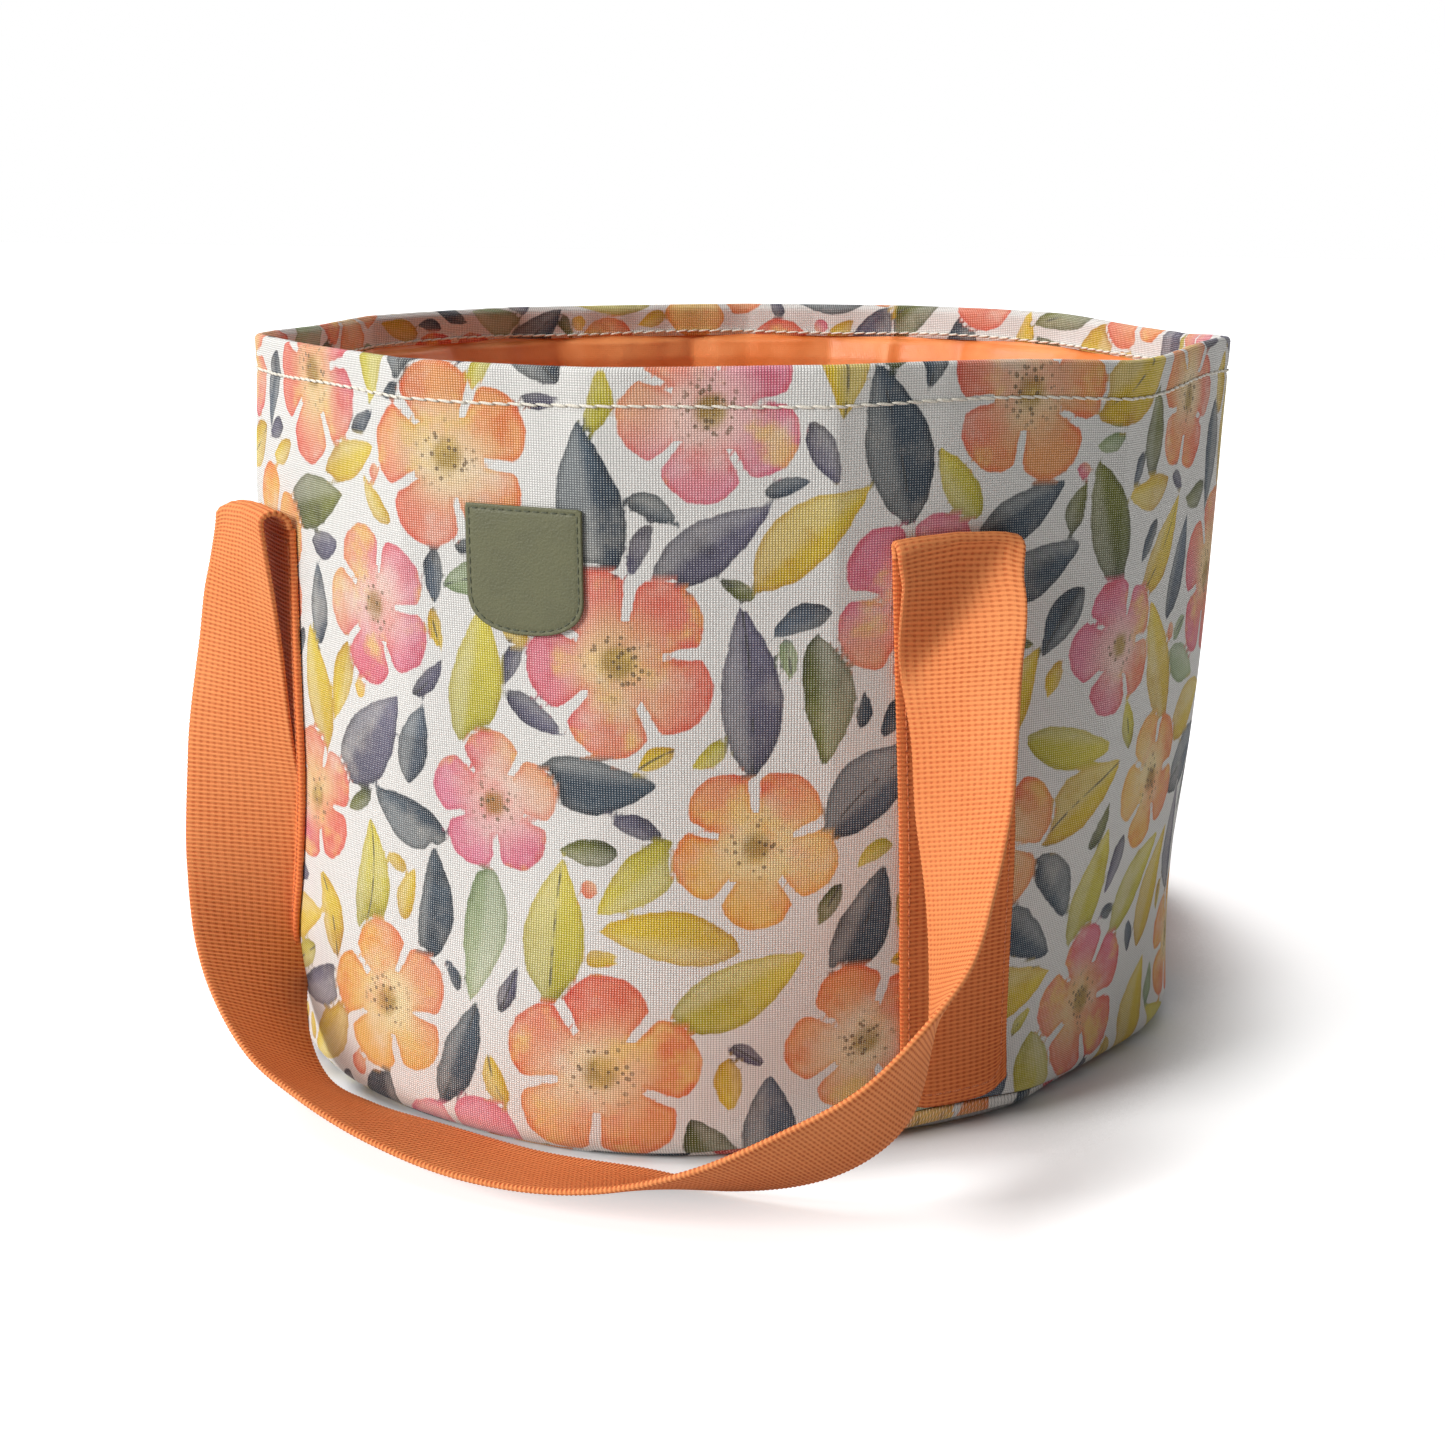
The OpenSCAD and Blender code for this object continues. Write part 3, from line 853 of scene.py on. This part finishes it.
# Lean of the front right strip in degrees, the round of a strip's lower corners, and the tuck of its foot
strip_lean = 3.5
strip_corner = 6 * MM
strip_tuck = 1.3 * MM
STRIP_ANGLES = {
    ("front", "left"): -strip_angle,
    ("front", "right"): strip_angle,
    ("back", "left"): 180 + strip_angle,
    ("back", "right"): 180 - strip_angle,
}
# Height by which a strip's top was sewn above or below its usual place
STRIP_LIFTS = {-strip_angle: -1.2 * MM, strip_angle: 2.0 * MM}


def webbing_outline():
    """Cross-section of the webbing: places across it and up from its underside, anticlockwise."""
    half, edge = webbing_w / 2, webbing_t / 2
    flat = np.linspace(edge - half, half - edge, 11)
    turn = np.radians([-60, -30, 0, 30, 60])
    bow, rise = edge * np.cos(turn), edge * np.sin(turn)
    across = [*flat, *(half - edge + bow), *flat[::-1], *(edge - half - bow)]
    up = [*np.zeros(11), *(edge + rise), *np.full(11, webbing_t), *(edge - rise)]
    return np.array(across), np.array(up)


def webbing(name, length, carry):
    """A length of ribbed webbing; carry gives the points at a distance along, across and up."""
    across, up = webbing_outline()
    ribs = round(length / rib_pitch)
    along = np.linspace(0, length, ribs * rows_per_rib + 1)
    swell = rib_rise * np.cos(2 * math.pi * np.arange(len(along)) / rows_per_rib)[:, None]
    out = np.sign(up - webbing_t / 2) * (np.abs(up - webbing_t / 2) > webbing_t * 0.2)
    side = np.sign(across) * (np.abs(across) > webbing_w / 2 - webbing_t * 0.6)
    points = carry(along[:, None] + 0 * across, across + 0.4 * side * swell, up + out * swell)
    wide = path_length(np.stack([across, up], axis=1))
    wide = np.append(wide, wide[-1] + webbing_t / 2)
    uv = np.stack(np.meshgrid(wide, along), axis=-1)
    rows, cols = len(along), len(across)
    first = list(range(cols))
    last = [(rows - 1) * cols + j for j in first]
    faces = [*ring_faces(rows, cols), first[::-1], last]
    corners = np.vstack([ring_corners(uv), uv[0, :-1][::-1], uv[-1, :-1]])
    return made_mesh(name, points, faces, corners)


def on_strip(angle, x, s, up):
    """Points on a sewn strip: across it, down from its top, and up from the wall."""
    foot = seam_z(math.radians(angle)) + 1 * MM
    top = strip_top_z + STRIP_LIFTS.get(angle, 0)
    drop = s / strip_length
    corner = strip_corner * np.abs(2 * x / webbing_w) ** 5 * eased(drop, 0.86, 1)
    z = top - (top - foot) * drop + corner
    tuck = strip_tuck * (1 - eased(z, foot, foot + 5 * MM))
    lean = math.radians(strip_lean if angle == strip_angle else 0) * drop
    phi = math.radians(angle) + lean + x / (cone_r(z) + webbing_t)
    return on_wall(phi, z, layer_gap + up - tuck)


def sewn_strip(end, side):
    """A strip of webbing sewn up the wall, with its foot caught in the base seam."""
    angle = STRIP_ANGLES[end, side]
    carry = lambda s, x, h: on_strip(angle, x, s, h)
    piece = webbing(f"{end}_{side}_webbing_strip", strip_length, carry)
    return finished(piece, SHADED_STRIP_WEBBING, f"{end}_{side}_strip")


# Height, in millimetres, where the hanging webbing starts to settle on the floor
settle_h = 39


def hang(share):
    """Height, in millimetres, at a share of the way from the folds down to where the webbing settles."""
    return fold_z / MM - share * (fold_z / MM - settle_h)


stand_z = webbing_w / MM / 2 + 2
fold_out = layer_gap + webbing_t / 2 + fold_r
leg_out = (fold_out + fold_r) / MM
# Routes of the free webbing, as the frame has them: place along the handle, distance out from the wall,
# height, turn of its width and dip of its inner edge, in millimetres and degrees
FRONT_ROUTE = [
    (-1, leg_out, hang(0), 0, 0),
    (-1, 12.5, hang(0.15), 19, 5),
    (-1, 15.5, hang(0.32), 30, 4),
    (-0.98, 18.5, hang(0.5), 44, 3),
    (-0.96, 19.5, hang(0.63), 55, 2),
    (-0.93, 21, hang(0.76), 66, 5),
    (-0.89, 22.5, hang(0.88), 80, 12),
    (-0.82, 25, settle_h, 95, 17),
    (-0.71, 28.5, 25, 107, 26),
    (-0.58, 29.5, 15, 107, 30),
    (-0.43, 28, 11, 100, 25),
    (-0.21, 27, 8, 91, 15),
    (0.02, 28.5, 6, 82, 11),
    (0.25, 33, 8, 74, 13),
    (0.45, 41, 13, 64, 27),
    (0.62, 48, 23, 52, 36),
    (0.74, 50, 35, 53, 34),
    (0.82, 46, hang(0.91), 67, 28),
    (0.88, 40, hang(0.78), 85, 22),
    (0.92, 31, hang(0.64), 96, 18),
    (0.94, 25, hang(0.5), 108, 16),
    (0.95, 21.5, hang(0.35), 119, 12),
    (0.965, 15, hang(0.22), 140, 7),
    (0.99, 11, hang(0.1), 163, 1),
    (1, leg_out, hang(0), 180, 0),
]
BACK_HALF = [
    (-1, leg_out, hang(0), 0, 0),
    (-0.99, 10, hang(0.16), -10, -4),
    (-0.97, 11, hang(0.32), -12, -6),
    (-0.95, 8, hang(0.5), -1, -10),
    (-0.91, 7, hang(0.64), 8, -12),
    (-0.87, 9, hang(0.77), 15, -11),
    (-0.83, 14, hang(0.92), 32, -6),
    (-0.79, 18, settle_h - 1, 50, 5),
    (-0.74, 23, stand_z + 8, 67, 22),
    (-0.69, 27, stand_z + 3, 75, 34),
    (-0.60, 32, stand_z, 80, 53),
    (-0.49, 35, stand_z - 1, 82, 70),
    (-0.36, 36, stand_z, 85, 86),
    (-0.21, 36, stand_z + 1, 87, 98),
    (0, 36, stand_z + 2, 90, 105),
]
BACK_ROUTE = BACK_HALF + [(-u, out, z, 180 - turn, dip) for u, out, z, turn, dip in BACK_HALF[-2::-1]]
end_lead = 20
route_samples = 40


def along_route(route):
    """Centres and width directions of the webbing, close together along a route."""
    lead = np.array([0, 0, end_lead, 0, 0])
    knots = np.vstack([np.array(route[0]) + lead, route, np.array(route[-1]) + lead])
    f = np.linspace(0, 1, route_samples, endpoint=False)[:, None]
    spans = []
    for a, b, c, d in zip(knots, knots[1:], knots[2:], knots[3:]):
        spans.append(b + 0.5 * f * (c - a + f * (2 * a - 5 * b + 4 * c - d + f * (3 * (b - c) + d - a))))
    place, out, z, turn, dip = np.vstack([*spans, knots[-2:-1]]).T
    angle = np.radians(place * strip_angle)
    heading, dip = angle + np.radians(turn), np.radians(dip)
    r = cone_r(z * MM) + out * MM
    centres = np.stack([r * np.sin(angle), -r * np.cos(angle), z * MM], axis=1)
    widths = [np.cos(heading) * np.cos(dip), np.sin(heading) * np.cos(dip), -np.sin(dip)]
    return centres, np.stack(widths, axis=1)


def level_turn(a, b):
    """Angle, seen from above, that turns one direction into another."""
    return math.atan2(a[0] * b[1] - a[1] * b[0], a[0] * b[0] + a[1] * b[1])


def round_fold(end, side):
    """Centres round the fold at the top of a sewn strip, from its root, and its directions across and out."""
    angle = STRIP_ANGLES[end, side]
    edges = on_strip(angle, np.array([-webbing_w / 2, webbing_w / 2]), 0, webbing_t / 2)
    across = edges[1] - edges[0]
    across = np.array([across[0], across[1], 0]) / math.hypot(across[0], across[1])
    out = np.array([across[1], -across[0], 0])
    up = np.array([0, 0, 1])
    root = on_strip(angle, np.zeros(1), 0, webbing_t / 2)[0]
    middle = root + fold_r * out + (fold_z - strip_top_z) * up
    arc = np.radians(np.linspace(180, 0, 30))
    centres = [root + 0.1 * MM * up]
    centres += [middle + fold_r * (math.cos(b) * out + math.sin(b) * up) for b in arc]
    along = 1 if (end, side) in (("front", "left"), ("back", "right")) else -1
    return np.array(centres), along * across, out


def creased(x, crease):
    """How far webbing with a soft crease along it sinks below the line between its edges."""
    half = webbing_w / 2
    bend = lambda at: np.sqrt((at - crease) ** 2 + crease_soft ** 2)
    chord = bend(-half) + (bend(half) - bend(-half)) * (x + half) / (2 * half)
    return crease_slope * (bend(x) - chord)


crease_slope, crease_soft = 0.55, 5 * MM
# The front handle's right leg turns over a crease that runs down across it from its fold
crease_start, crease_stop = 4 * MM, 52 * MM
narrow_from, narrow_to, narrow_share = (10 * MM, 22 * MM), (50 * MM, 85 * MM), 0.115
fold_fade = 75 * MM
rest_drop = 1.4 * MM
# How each front fold differs from a plain round, at places across the webbing as shares of its width:
# how far it stands open, how high it sits, and the length down the leg over which that fades, in millimetres
FOLD_PLACES = (-0.5, -0.35, 0, 0.35, 0.5)
FOLD_SHAPES = {
    ("front", "left"): ((6.6, 5.2, 3.6, 2.8, 2.6), (-2.4, -0.3, 0.6, 0.5, 0), (23, 26, 34, 44, 48)),
    ("front", "right"): ((-0.6, -0.8, -1.9, -2.9, -3.4), (-1.4, 1.0, 1.3, -0.1, -1.2), (42, 42, 42, 42, 42)),
}


def fold_shift(end, side, from_root, x, out):
    """How far the shape of a fold moves points of the webbing, at distances from its root and across it."""
    if (end, side) not in FOLD_SHAPES:
        return 0
    opening, lift, fade = (np.interp(x / webbing_w, FOLD_PLACES, row) * MM for row in FOLD_SHAPES[end, side])
    turned_by = math.pi * fold_r
    left_over = 1 - eased(from_root, turned_by, turned_by + fade)
    opened = opening * eased(from_root, 0, turned_by) * left_over
    lifted = lift * eased(from_root, 0.1 * turned_by, 0.8 * turned_by) * left_over
    return opened[..., None] * out + lifted[..., None] * np.array([0, 0, 1])


def handle(end, route):
    """One handle: the free webbing from fold to fold."""
    centres, widths = along_route(route)
    if end == "back":
        centres[:, 1] *= -1
        widths[:, 1] *= -1
    if end == "front":
        centres[:, 2] -= rest_drop * (1 - eased(centres[:, 2], 8 * MM, 30 * MM))
    gone = path_length(centres)
    left, right = round_fold(end, "left"), round_fold(end, "right")
    for (fold, across, out), from_fold, first in ((left, gone, 0), (right, gone[-1] - gone, -1)):
        near = 1 - eased(from_fold, 0, fold_fade)
        centres = centres + near[:, None] * (fold[-1] - centres[first])
        turn = near * level_turn(widths[first], across)
        x, y = widths[:, 0].copy(), widths[:, 1].copy()
        widths[:, 0] = x * np.cos(turn) - y * np.sin(turn)
        widths[:, 1] = x * np.sin(turn) + y * np.cos(turn)
    centres = np.vstack([left[0][:-1], centres, right[0][-2::-1]])
    rows = len(left[0]) - 1
    widths = np.vstack([np.tile(left[1], (rows, 1)), widths, np.tile(right[1], (rows, 1))])
    gone = path_length(centres)
    ahead = np.gradient(centres, gone, axis=0)
    faces_out = np.cross(ahead, widths)
    faces_out /= np.linalg.norm(faces_out, axis=1)[:, None]

    def carry(s, x, h):
        pick = lambda rows: np.stack([np.interp(s, gone, rows[:, k]) for k in range(3)], axis=-1)
        up = h - webbing_t / 2
        if end == "front":
            edge = webbing_w * 0.6
            up = up + creased(x, np.interp(gone[-1] - s, [crease_start, crease_stop], [-edge, edge]))
            drawn = eased(gone[-1] - s, *narrow_from) * (1 - eased(gone[-1] - s, *narrow_to))
            x = x * (1 - narrow_share * drawn)
        points = pick(centres) + pick(widths) * x[..., None] + pick(faces_out) * up[..., None]
        for side, (fold, across, out), from_root in (("left", left, s), ("right", right, gone[-1] - s)):
            points = points + fold_shift(end, side, from_root, x, out)
        return points

    piece = webbing(f"{end}_handle_webbing", gone[-1], carry)
    piece.data.materials.append(WEBBING)
    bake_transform(piece)
    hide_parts(f"{end}_left_fold", f"{end}_right_fold", f"{end}_handle_loop")
    return piece


# Label

label_w = label_high.x - label_low.x
label_h = label_high.z - label_low.z
label_t = 1.2 * MM
label_foot_h = 11 * MM
label_roundness = 2.4
label_nick = 0.3 * MM
# Where the label is sewn, as a share of the way out to its edge, and its rise in the middle
label_sewn_share = 0.93
label_crown = 1.06


def label_outline(count=96):
    """Shield outline about the label's middle, anticlockwise from outside, evenly spaced."""
    half, foot_z = label_w / 2, label_foot_h - label_h / 2
    a = np.radians(np.linspace(180, 360, 60))
    foot = np.stack([
        half * np.sign(np.cos(a)) * np.abs(np.cos(a)) ** (2 / label_roundness),
        foot_z - label_foot_h * np.abs(np.sin(a)) ** (2 / label_roundness),
    ], axis=1)
    nick, top_z = label_nick, label_h / 2
    top = [[half, top_z - nick], [half - nick, top_z], [nick - half, top_z], [-half, top_z - nick]]
    corners = np.vstack([foot, top, foot[:1]])
    gone = path_length(corners)
    s = np.linspace(0, gone[-1], count, endpoint=False)
    return np.stack([np.interp(s, gone, corners[:, k]) for k in range(2)], axis=1)


def label_points(flat, up):
    """Puts label places, about its middle, on the wall."""
    z = (label_low.z + label_high.z) / 2 + flat[:, 1]
    phi = flat[:, 0] / (cone_r(z) + label_t)
    return on_wall(phi, z, layer_gap + up)


def label():
    """Bare shield label with a rounded edge."""
    outline = label_outline()
    count = len(outline)
    edge = [(0.97, 0), (1.0, 0.25), (1.0, 0.75), (0.99, 0.96), (0.975, 1.0), (0.955, 0.97)]
    sewn = [(label_sewn_share, 0.84), (0.905, 0.98), (0.86, 1.04)]
    steps = [*edge, *sewn, *((share, label_crown) for share in (0.6, 0.4, 0.2))]
    rings = [label_points(outline * share, np.full(count, rise * label_t)) for share, rise in steps]
    points = np.vstack([*rings, label_points(np.zeros((1, 2)), np.array([label_crown * label_t]))])
    faces = ring_faces(len(steps), count)
    top = (len(steps) - 1) * count
    faces += [(top + j, top + (j + 1) % count, len(points) - 1) for j in range(count)]
    faces.append(list(range(count))[::-1])
    piece = made_mesh("label_patch_bare", points, faces)
    return finished(piece, LABEL, "label_patch")


# Stitching

def stitch_tree():
    """Node tree that lays stitches end to end along the edges it is given."""
    tree = bpy.data.node_groups.new("stitch_row", "GeometryNodeTree")
    sizes = [(name, "NodeSocketFloat") for name in ("Pitch", "Length", "Thickness", "Slant")]
    for name, kind in [("Line", "NodeSocketGeometry"), *sizes, ("Thread", "NodeSocketMaterial")]:
        tree.interface.new_socket(name, in_out="INPUT", socket_type=kind)
    tree.interface.new_socket("Stitches", in_out="OUTPUT", socket_type="NodeSocketGeometry")
    add = tree.nodes.new
    given = add("NodeGroupInput")
    to_curve = add("GeometryNodeMeshToCurve")
    spread = add("GeometryNodeCurveToPoints")
    spread.mode = "LENGTH"
    lean = add("ShaderNodeCombineXYZ")
    tilt = add("ShaderNodeVectorMath")
    aim = add("FunctionNodeAlignRotationToVector")
    aim.axis = "X"
    thread = add("GeometryNodeMeshUVSphere")
    for name, value in (("Segments", 6), ("Rings", 5), ("Radius", 0.5)):
        thread.inputs[name].default_value = value
    size = add("ShaderNodeCombineXYZ")
    lay = add("GeometryNodeInstanceOnPoints")
    real = add("GeometryNodeRealizeInstances")
    smooth = add("GeometryNodeSetShadeSmooth")
    dye = add("GeometryNodeSetMaterial")
    result = add("NodeGroupOutput")
    links = [
        (given, "Line", to_curve, "Mesh"),
        (to_curve, "Curve", spread, "Curve"),
        (given, "Pitch", spread, "Length"),
        (given, "Slant", lean, "Z"),
        (spread, "Tangent", tilt, 0),
        (lean, "Vector", tilt, 1),
        (tilt, "Vector", aim, "Vector"),
        (given, "Length", size, "X"),
        (given, "Thickness", size, "Y"),
        (given, "Thickness", size, "Z"),
        (spread, "Points", lay, "Points"),
        (thread, "Mesh", lay, "Instance"),
        (aim, "Rotation", lay, "Rotation"),
        (size, "Vector", lay, "Scale"),
        (lay, "Instances", real, "Geometry"),
        (real, "Geometry", smooth, "Geometry"),
        (smooth, "Geometry", dye, "Geometry"),
        (given, "Thread", dye, "Material"),
        (dye, "Geometry", result, "Stitches"),
    ]
    for source, output, target, socket in links:
        tree.links.new(source.outputs[output], target.inputs[socket])
    return tree


STITCH_ROW = stitch_tree()


def stitches(name, lines, thread, pitch, length, thickness, slant=0.0):
    """Stitches along one or more lines of points, as a plain mesh that rides on the bag."""
    points = np.vstack(lines)
    edges = []
    start = 0
    for line in lines:
        edges += [(start + k, start + k + 1) for k in range(len(line) - 1)]
        start += len(line)
    mesh = bpy.data.meshes.new(name)
    mesh.from_pydata(points.tolist(), edges, [])
    piece = bpy.data.objects.new(name, mesh)
    bpy.context.scene.collection.objects.link(piece)
    rows = piece.modifiers.new("stitches", "NODES")
    rows.node_group = STITCH_ROW
    values = {"Pitch": pitch, "Length": length, "Thickness": thickness, "Slant": slant, "Thread": thread}
    for item in STITCH_ROW.interface.items_tree:
        if item.name in values:
            rows[item.identifier] = values[item.name]
    sewn = bpy.data.meshes.new_from_object(piece.evaluated_get(bpy.context.evaluated_depsgraph_get()))
    piece.modifiers.remove(rows)
    piece.data = sewn
    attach(piece, "bag")
    return piece


def hem_stitches():
    """White topstitching round the hem, outside and inside."""
    phi = np.linspace(-math.pi, math.pi, 721)
    z = np.full(len(phi), bag_h - stitch_drop) + 0.35 * MM * np.sin(9 * phi)
    outside = on_wall(phi, z, np.full(len(phi), 0.3 * MM))
    inside = on_wall(phi, z, np.full(len(phi), -2 * hem_half - 0.35 * MM))
    return stitches("hem_stitches", [outside, inside], WHITE_THREAD,
                    pitch=4.4 * MM, length=5.4 * MM, thickness=0.85 * MM, slant=-0.11)


def strip_stitches(end, side):
    """Orange stitching down both edges of a sewn strip, and across its top and foot."""
    angle = STRIP_ANGLES[end, side]
    inset, corner = 2.6 * MM, 5 * MM
    half = webbing_w / 2 - inset
    high, low = 4 * MM, strip_length - 4.5 * MM
    turn = np.linspace(0, math.pi / 2, 8)
    level, plumb = corner * np.cos(turn), corner * np.sin(turn)
    x = [-half, *(corner - half - level), *(half - corner + plumb), half, -half]
    s = [high, *(low - corner + plumb), *(low - corner + level), high, high]
    gone = path_length(np.stack([x, s], axis=1))
    step = np.linspace(0, gone[-1], 300)
    line = on_strip(angle, np.interp(step, gone, x), np.interp(step, gone, s), webbing_t + 0.5 * rib_rise)
    return stitches(f"{end}_{side}_strip_stitches", [line], ORANGE_THREAD,
                    pitch=3.2 * MM, length=2.9 * MM, thickness=0.5 * MM)


def label_stitches():
    """Dark green stitching just inside the label's edge."""
    flat = label_outline(200) * label_sewn_share
    flat = np.vstack([flat, flat[:1]])
    line = label_points(flat, np.full(len(flat), 0.9 * label_t))
    return stitches("label_stitches", [line], GREEN_THREAD,
                    pitch=2.7 * MM, length=2.2 * MM, thickness=0.5 * MM)


# The whole bag

wall = canvas_wall()
base = canvas_base()
padding = wall_padding()
inner = lining_wall()
inner_base = lining_base()
board = stiff_board()
label()
for end, side in STRIP_ANGLES:
    sewn_strip(end, side)
    strip_stitches(end, side)
handle("front", FRONT_ROUTE)
handle("back", BACK_ROUTE)
hem_stitches()
label_stitches()


# Floor, light and camera

floor_grey = 0.72
floor_half = 8
floor_drop = 0.3 * MM
world_light = 0.14
# How far the floor is lifted towards white by a painted glow, and the share of that glow which stays on the
# lit side near the bag
floor_lift, lit_share = 0.72, 0.85
# Distance within which the bag shades the floor, and how open the floor is where the lift starts and is full
shade_reach = 110 * MM
shade_start, shade_end = 0.52, 0.87
# The painted glow of the lit side fades out across a slanting band on the bag's right, so the floor's shade
# shows there, and fades in outside the bag's foot
lit_slant = 0.36
lit_full, lit_none = 60 * MM, 125 * MM
foot_inner, foot_outer = 145 * MM, 180 * MM


def pale_floor():
    """Plain white floor, lifted to white for the camera away from the object by a painted glow, which is cut
    back near the object and on the bag's right so that the shade there shows.
    """
    m = Finish("pale_floor")
    plain = m.node("ShaderNodeBsdfDiffuse")
    plain.inputs["Color"].default_value = grey(floor_grey)
    rays = m.node("ShaderNodeLightPath")
    seen = m.math("MAXIMUM", rays.outputs["Is Camera Ray"], rays.outputs["Is Glossy Ray"])
    seen = m.math("MAXIMUM", seen, rays.outputs["Is Transmission Ray"])
    open_air = m.node("ShaderNodeAmbientOcclusion", samples=16)
    open_air.inputs["Distance"].default_value = shade_reach
    clear = m.ranged(open_air.outputs["AO"], shade_start, shade_end, 0.0, floor_lift)
    place = m.node("ShaderNodeSeparateXYZ")
    m.put(place.inputs[0], m.object_place())
    side = m.math("MULTIPLY_ADD", place.outputs[1], lit_slant, place.outputs[0])
    # Painted glow on the lit side, faded out on the bag's right so that its shade shows there
    painted_glow_side = m.ranged(side, lit_full, lit_none, lit_share * floor_lift, 0.0)
    from_axis = m.node("ShaderNodeVectorMath", operation="LENGTH")
    m.put(from_axis.inputs[0], m.object_place())
    painted_glow_side = m.math("MULTIPLY", painted_glow_side, m.ranged(from_axis.outputs["Value"], foot_inner, foot_outer))
    glow = m.node("ShaderNodeEmission")
    m.put(glow.inputs["Strength"], m.math("MULTIPLY", seen, m.math("MAXIMUM", clear, painted_glow_side)))
    both = m.node("ShaderNodeAddShader")
    m.put(both.inputs[0], plain.outputs[0])
    m.put(both.inputs[1], glow.outputs[0])
    corners = [(x * floor_half, y * floor_half, -floor_drop) for x, y in ((-1, -1), (1, -1), (1, 1), (-1, 1))]
    floor = made_mesh("floor", corners, [(0, 1, 2, 3)])
    floor.data.materials.append(m.shown(both))


def soft_sun(name, direction, softness, strength):
    """Even light from one side, with soft shadows."""
    lamp = bpy.data.lights.new(name, "SUN")
    lamp.angle = math.radians(softness)
    lamp.energy = strength
    holder = bpy.data.objects.new(name, lamp)
    holder.rotation_euler = Vector(direction).to_track_quat("Z", "Y").to_euler()
    bpy.context.scene.collection.objects.link(holder)


def studio_world():
    """Even pale light from all round, seen as white."""
    m = Finish("studio", world=True)
    rays = m.node("ShaderNodeLightPath")
    strength = world_light
    for kind in ("Is Glossy Ray", "Is Transmission Ray", "Is Camera Ray"):
        strength = m.math("MAXIMUM", rays.outputs[kind], strength)
    back = m.node("ShaderNodeBackground")
    back.inputs["Color"].default_value = grey(1)
    m.put(back.inputs["Strength"], strength)
    bpy.context.scene.world = m.shown(back, "ShaderNodeOutputWorld")


pale_floor()
studio_world()
soft_sun("key_sun", (-0.35, -0.1, 0.93), softness=40, strength=1.3)
soft_sun("front_sun", (-0.58, -0.69, 0.43), softness=25, strength=3.0)
soft_sun("back_sun", (0.15, 0.9, 0.4), softness=50, strength=0.9)

camera_turn = math.radians(23.3)
camera_tilt = math.radians(13.55)
camera = bpy.data.cameras.new("camera")
camera.sensor_width = 36
camera.lens = 55.5
viewer = bpy.data.objects.new("camera", camera)
viewer.location = (0.285, -0.679, 0.269)
viewer.rotation_euler = (math.pi / 2 - camera_tilt, 0, camera_turn)
bpy.context.scene.collection.objects.link(viewer)
bpy.context.scene.camera = viewer
bpy.context.scene.view_settings.view_transform = "Standard"
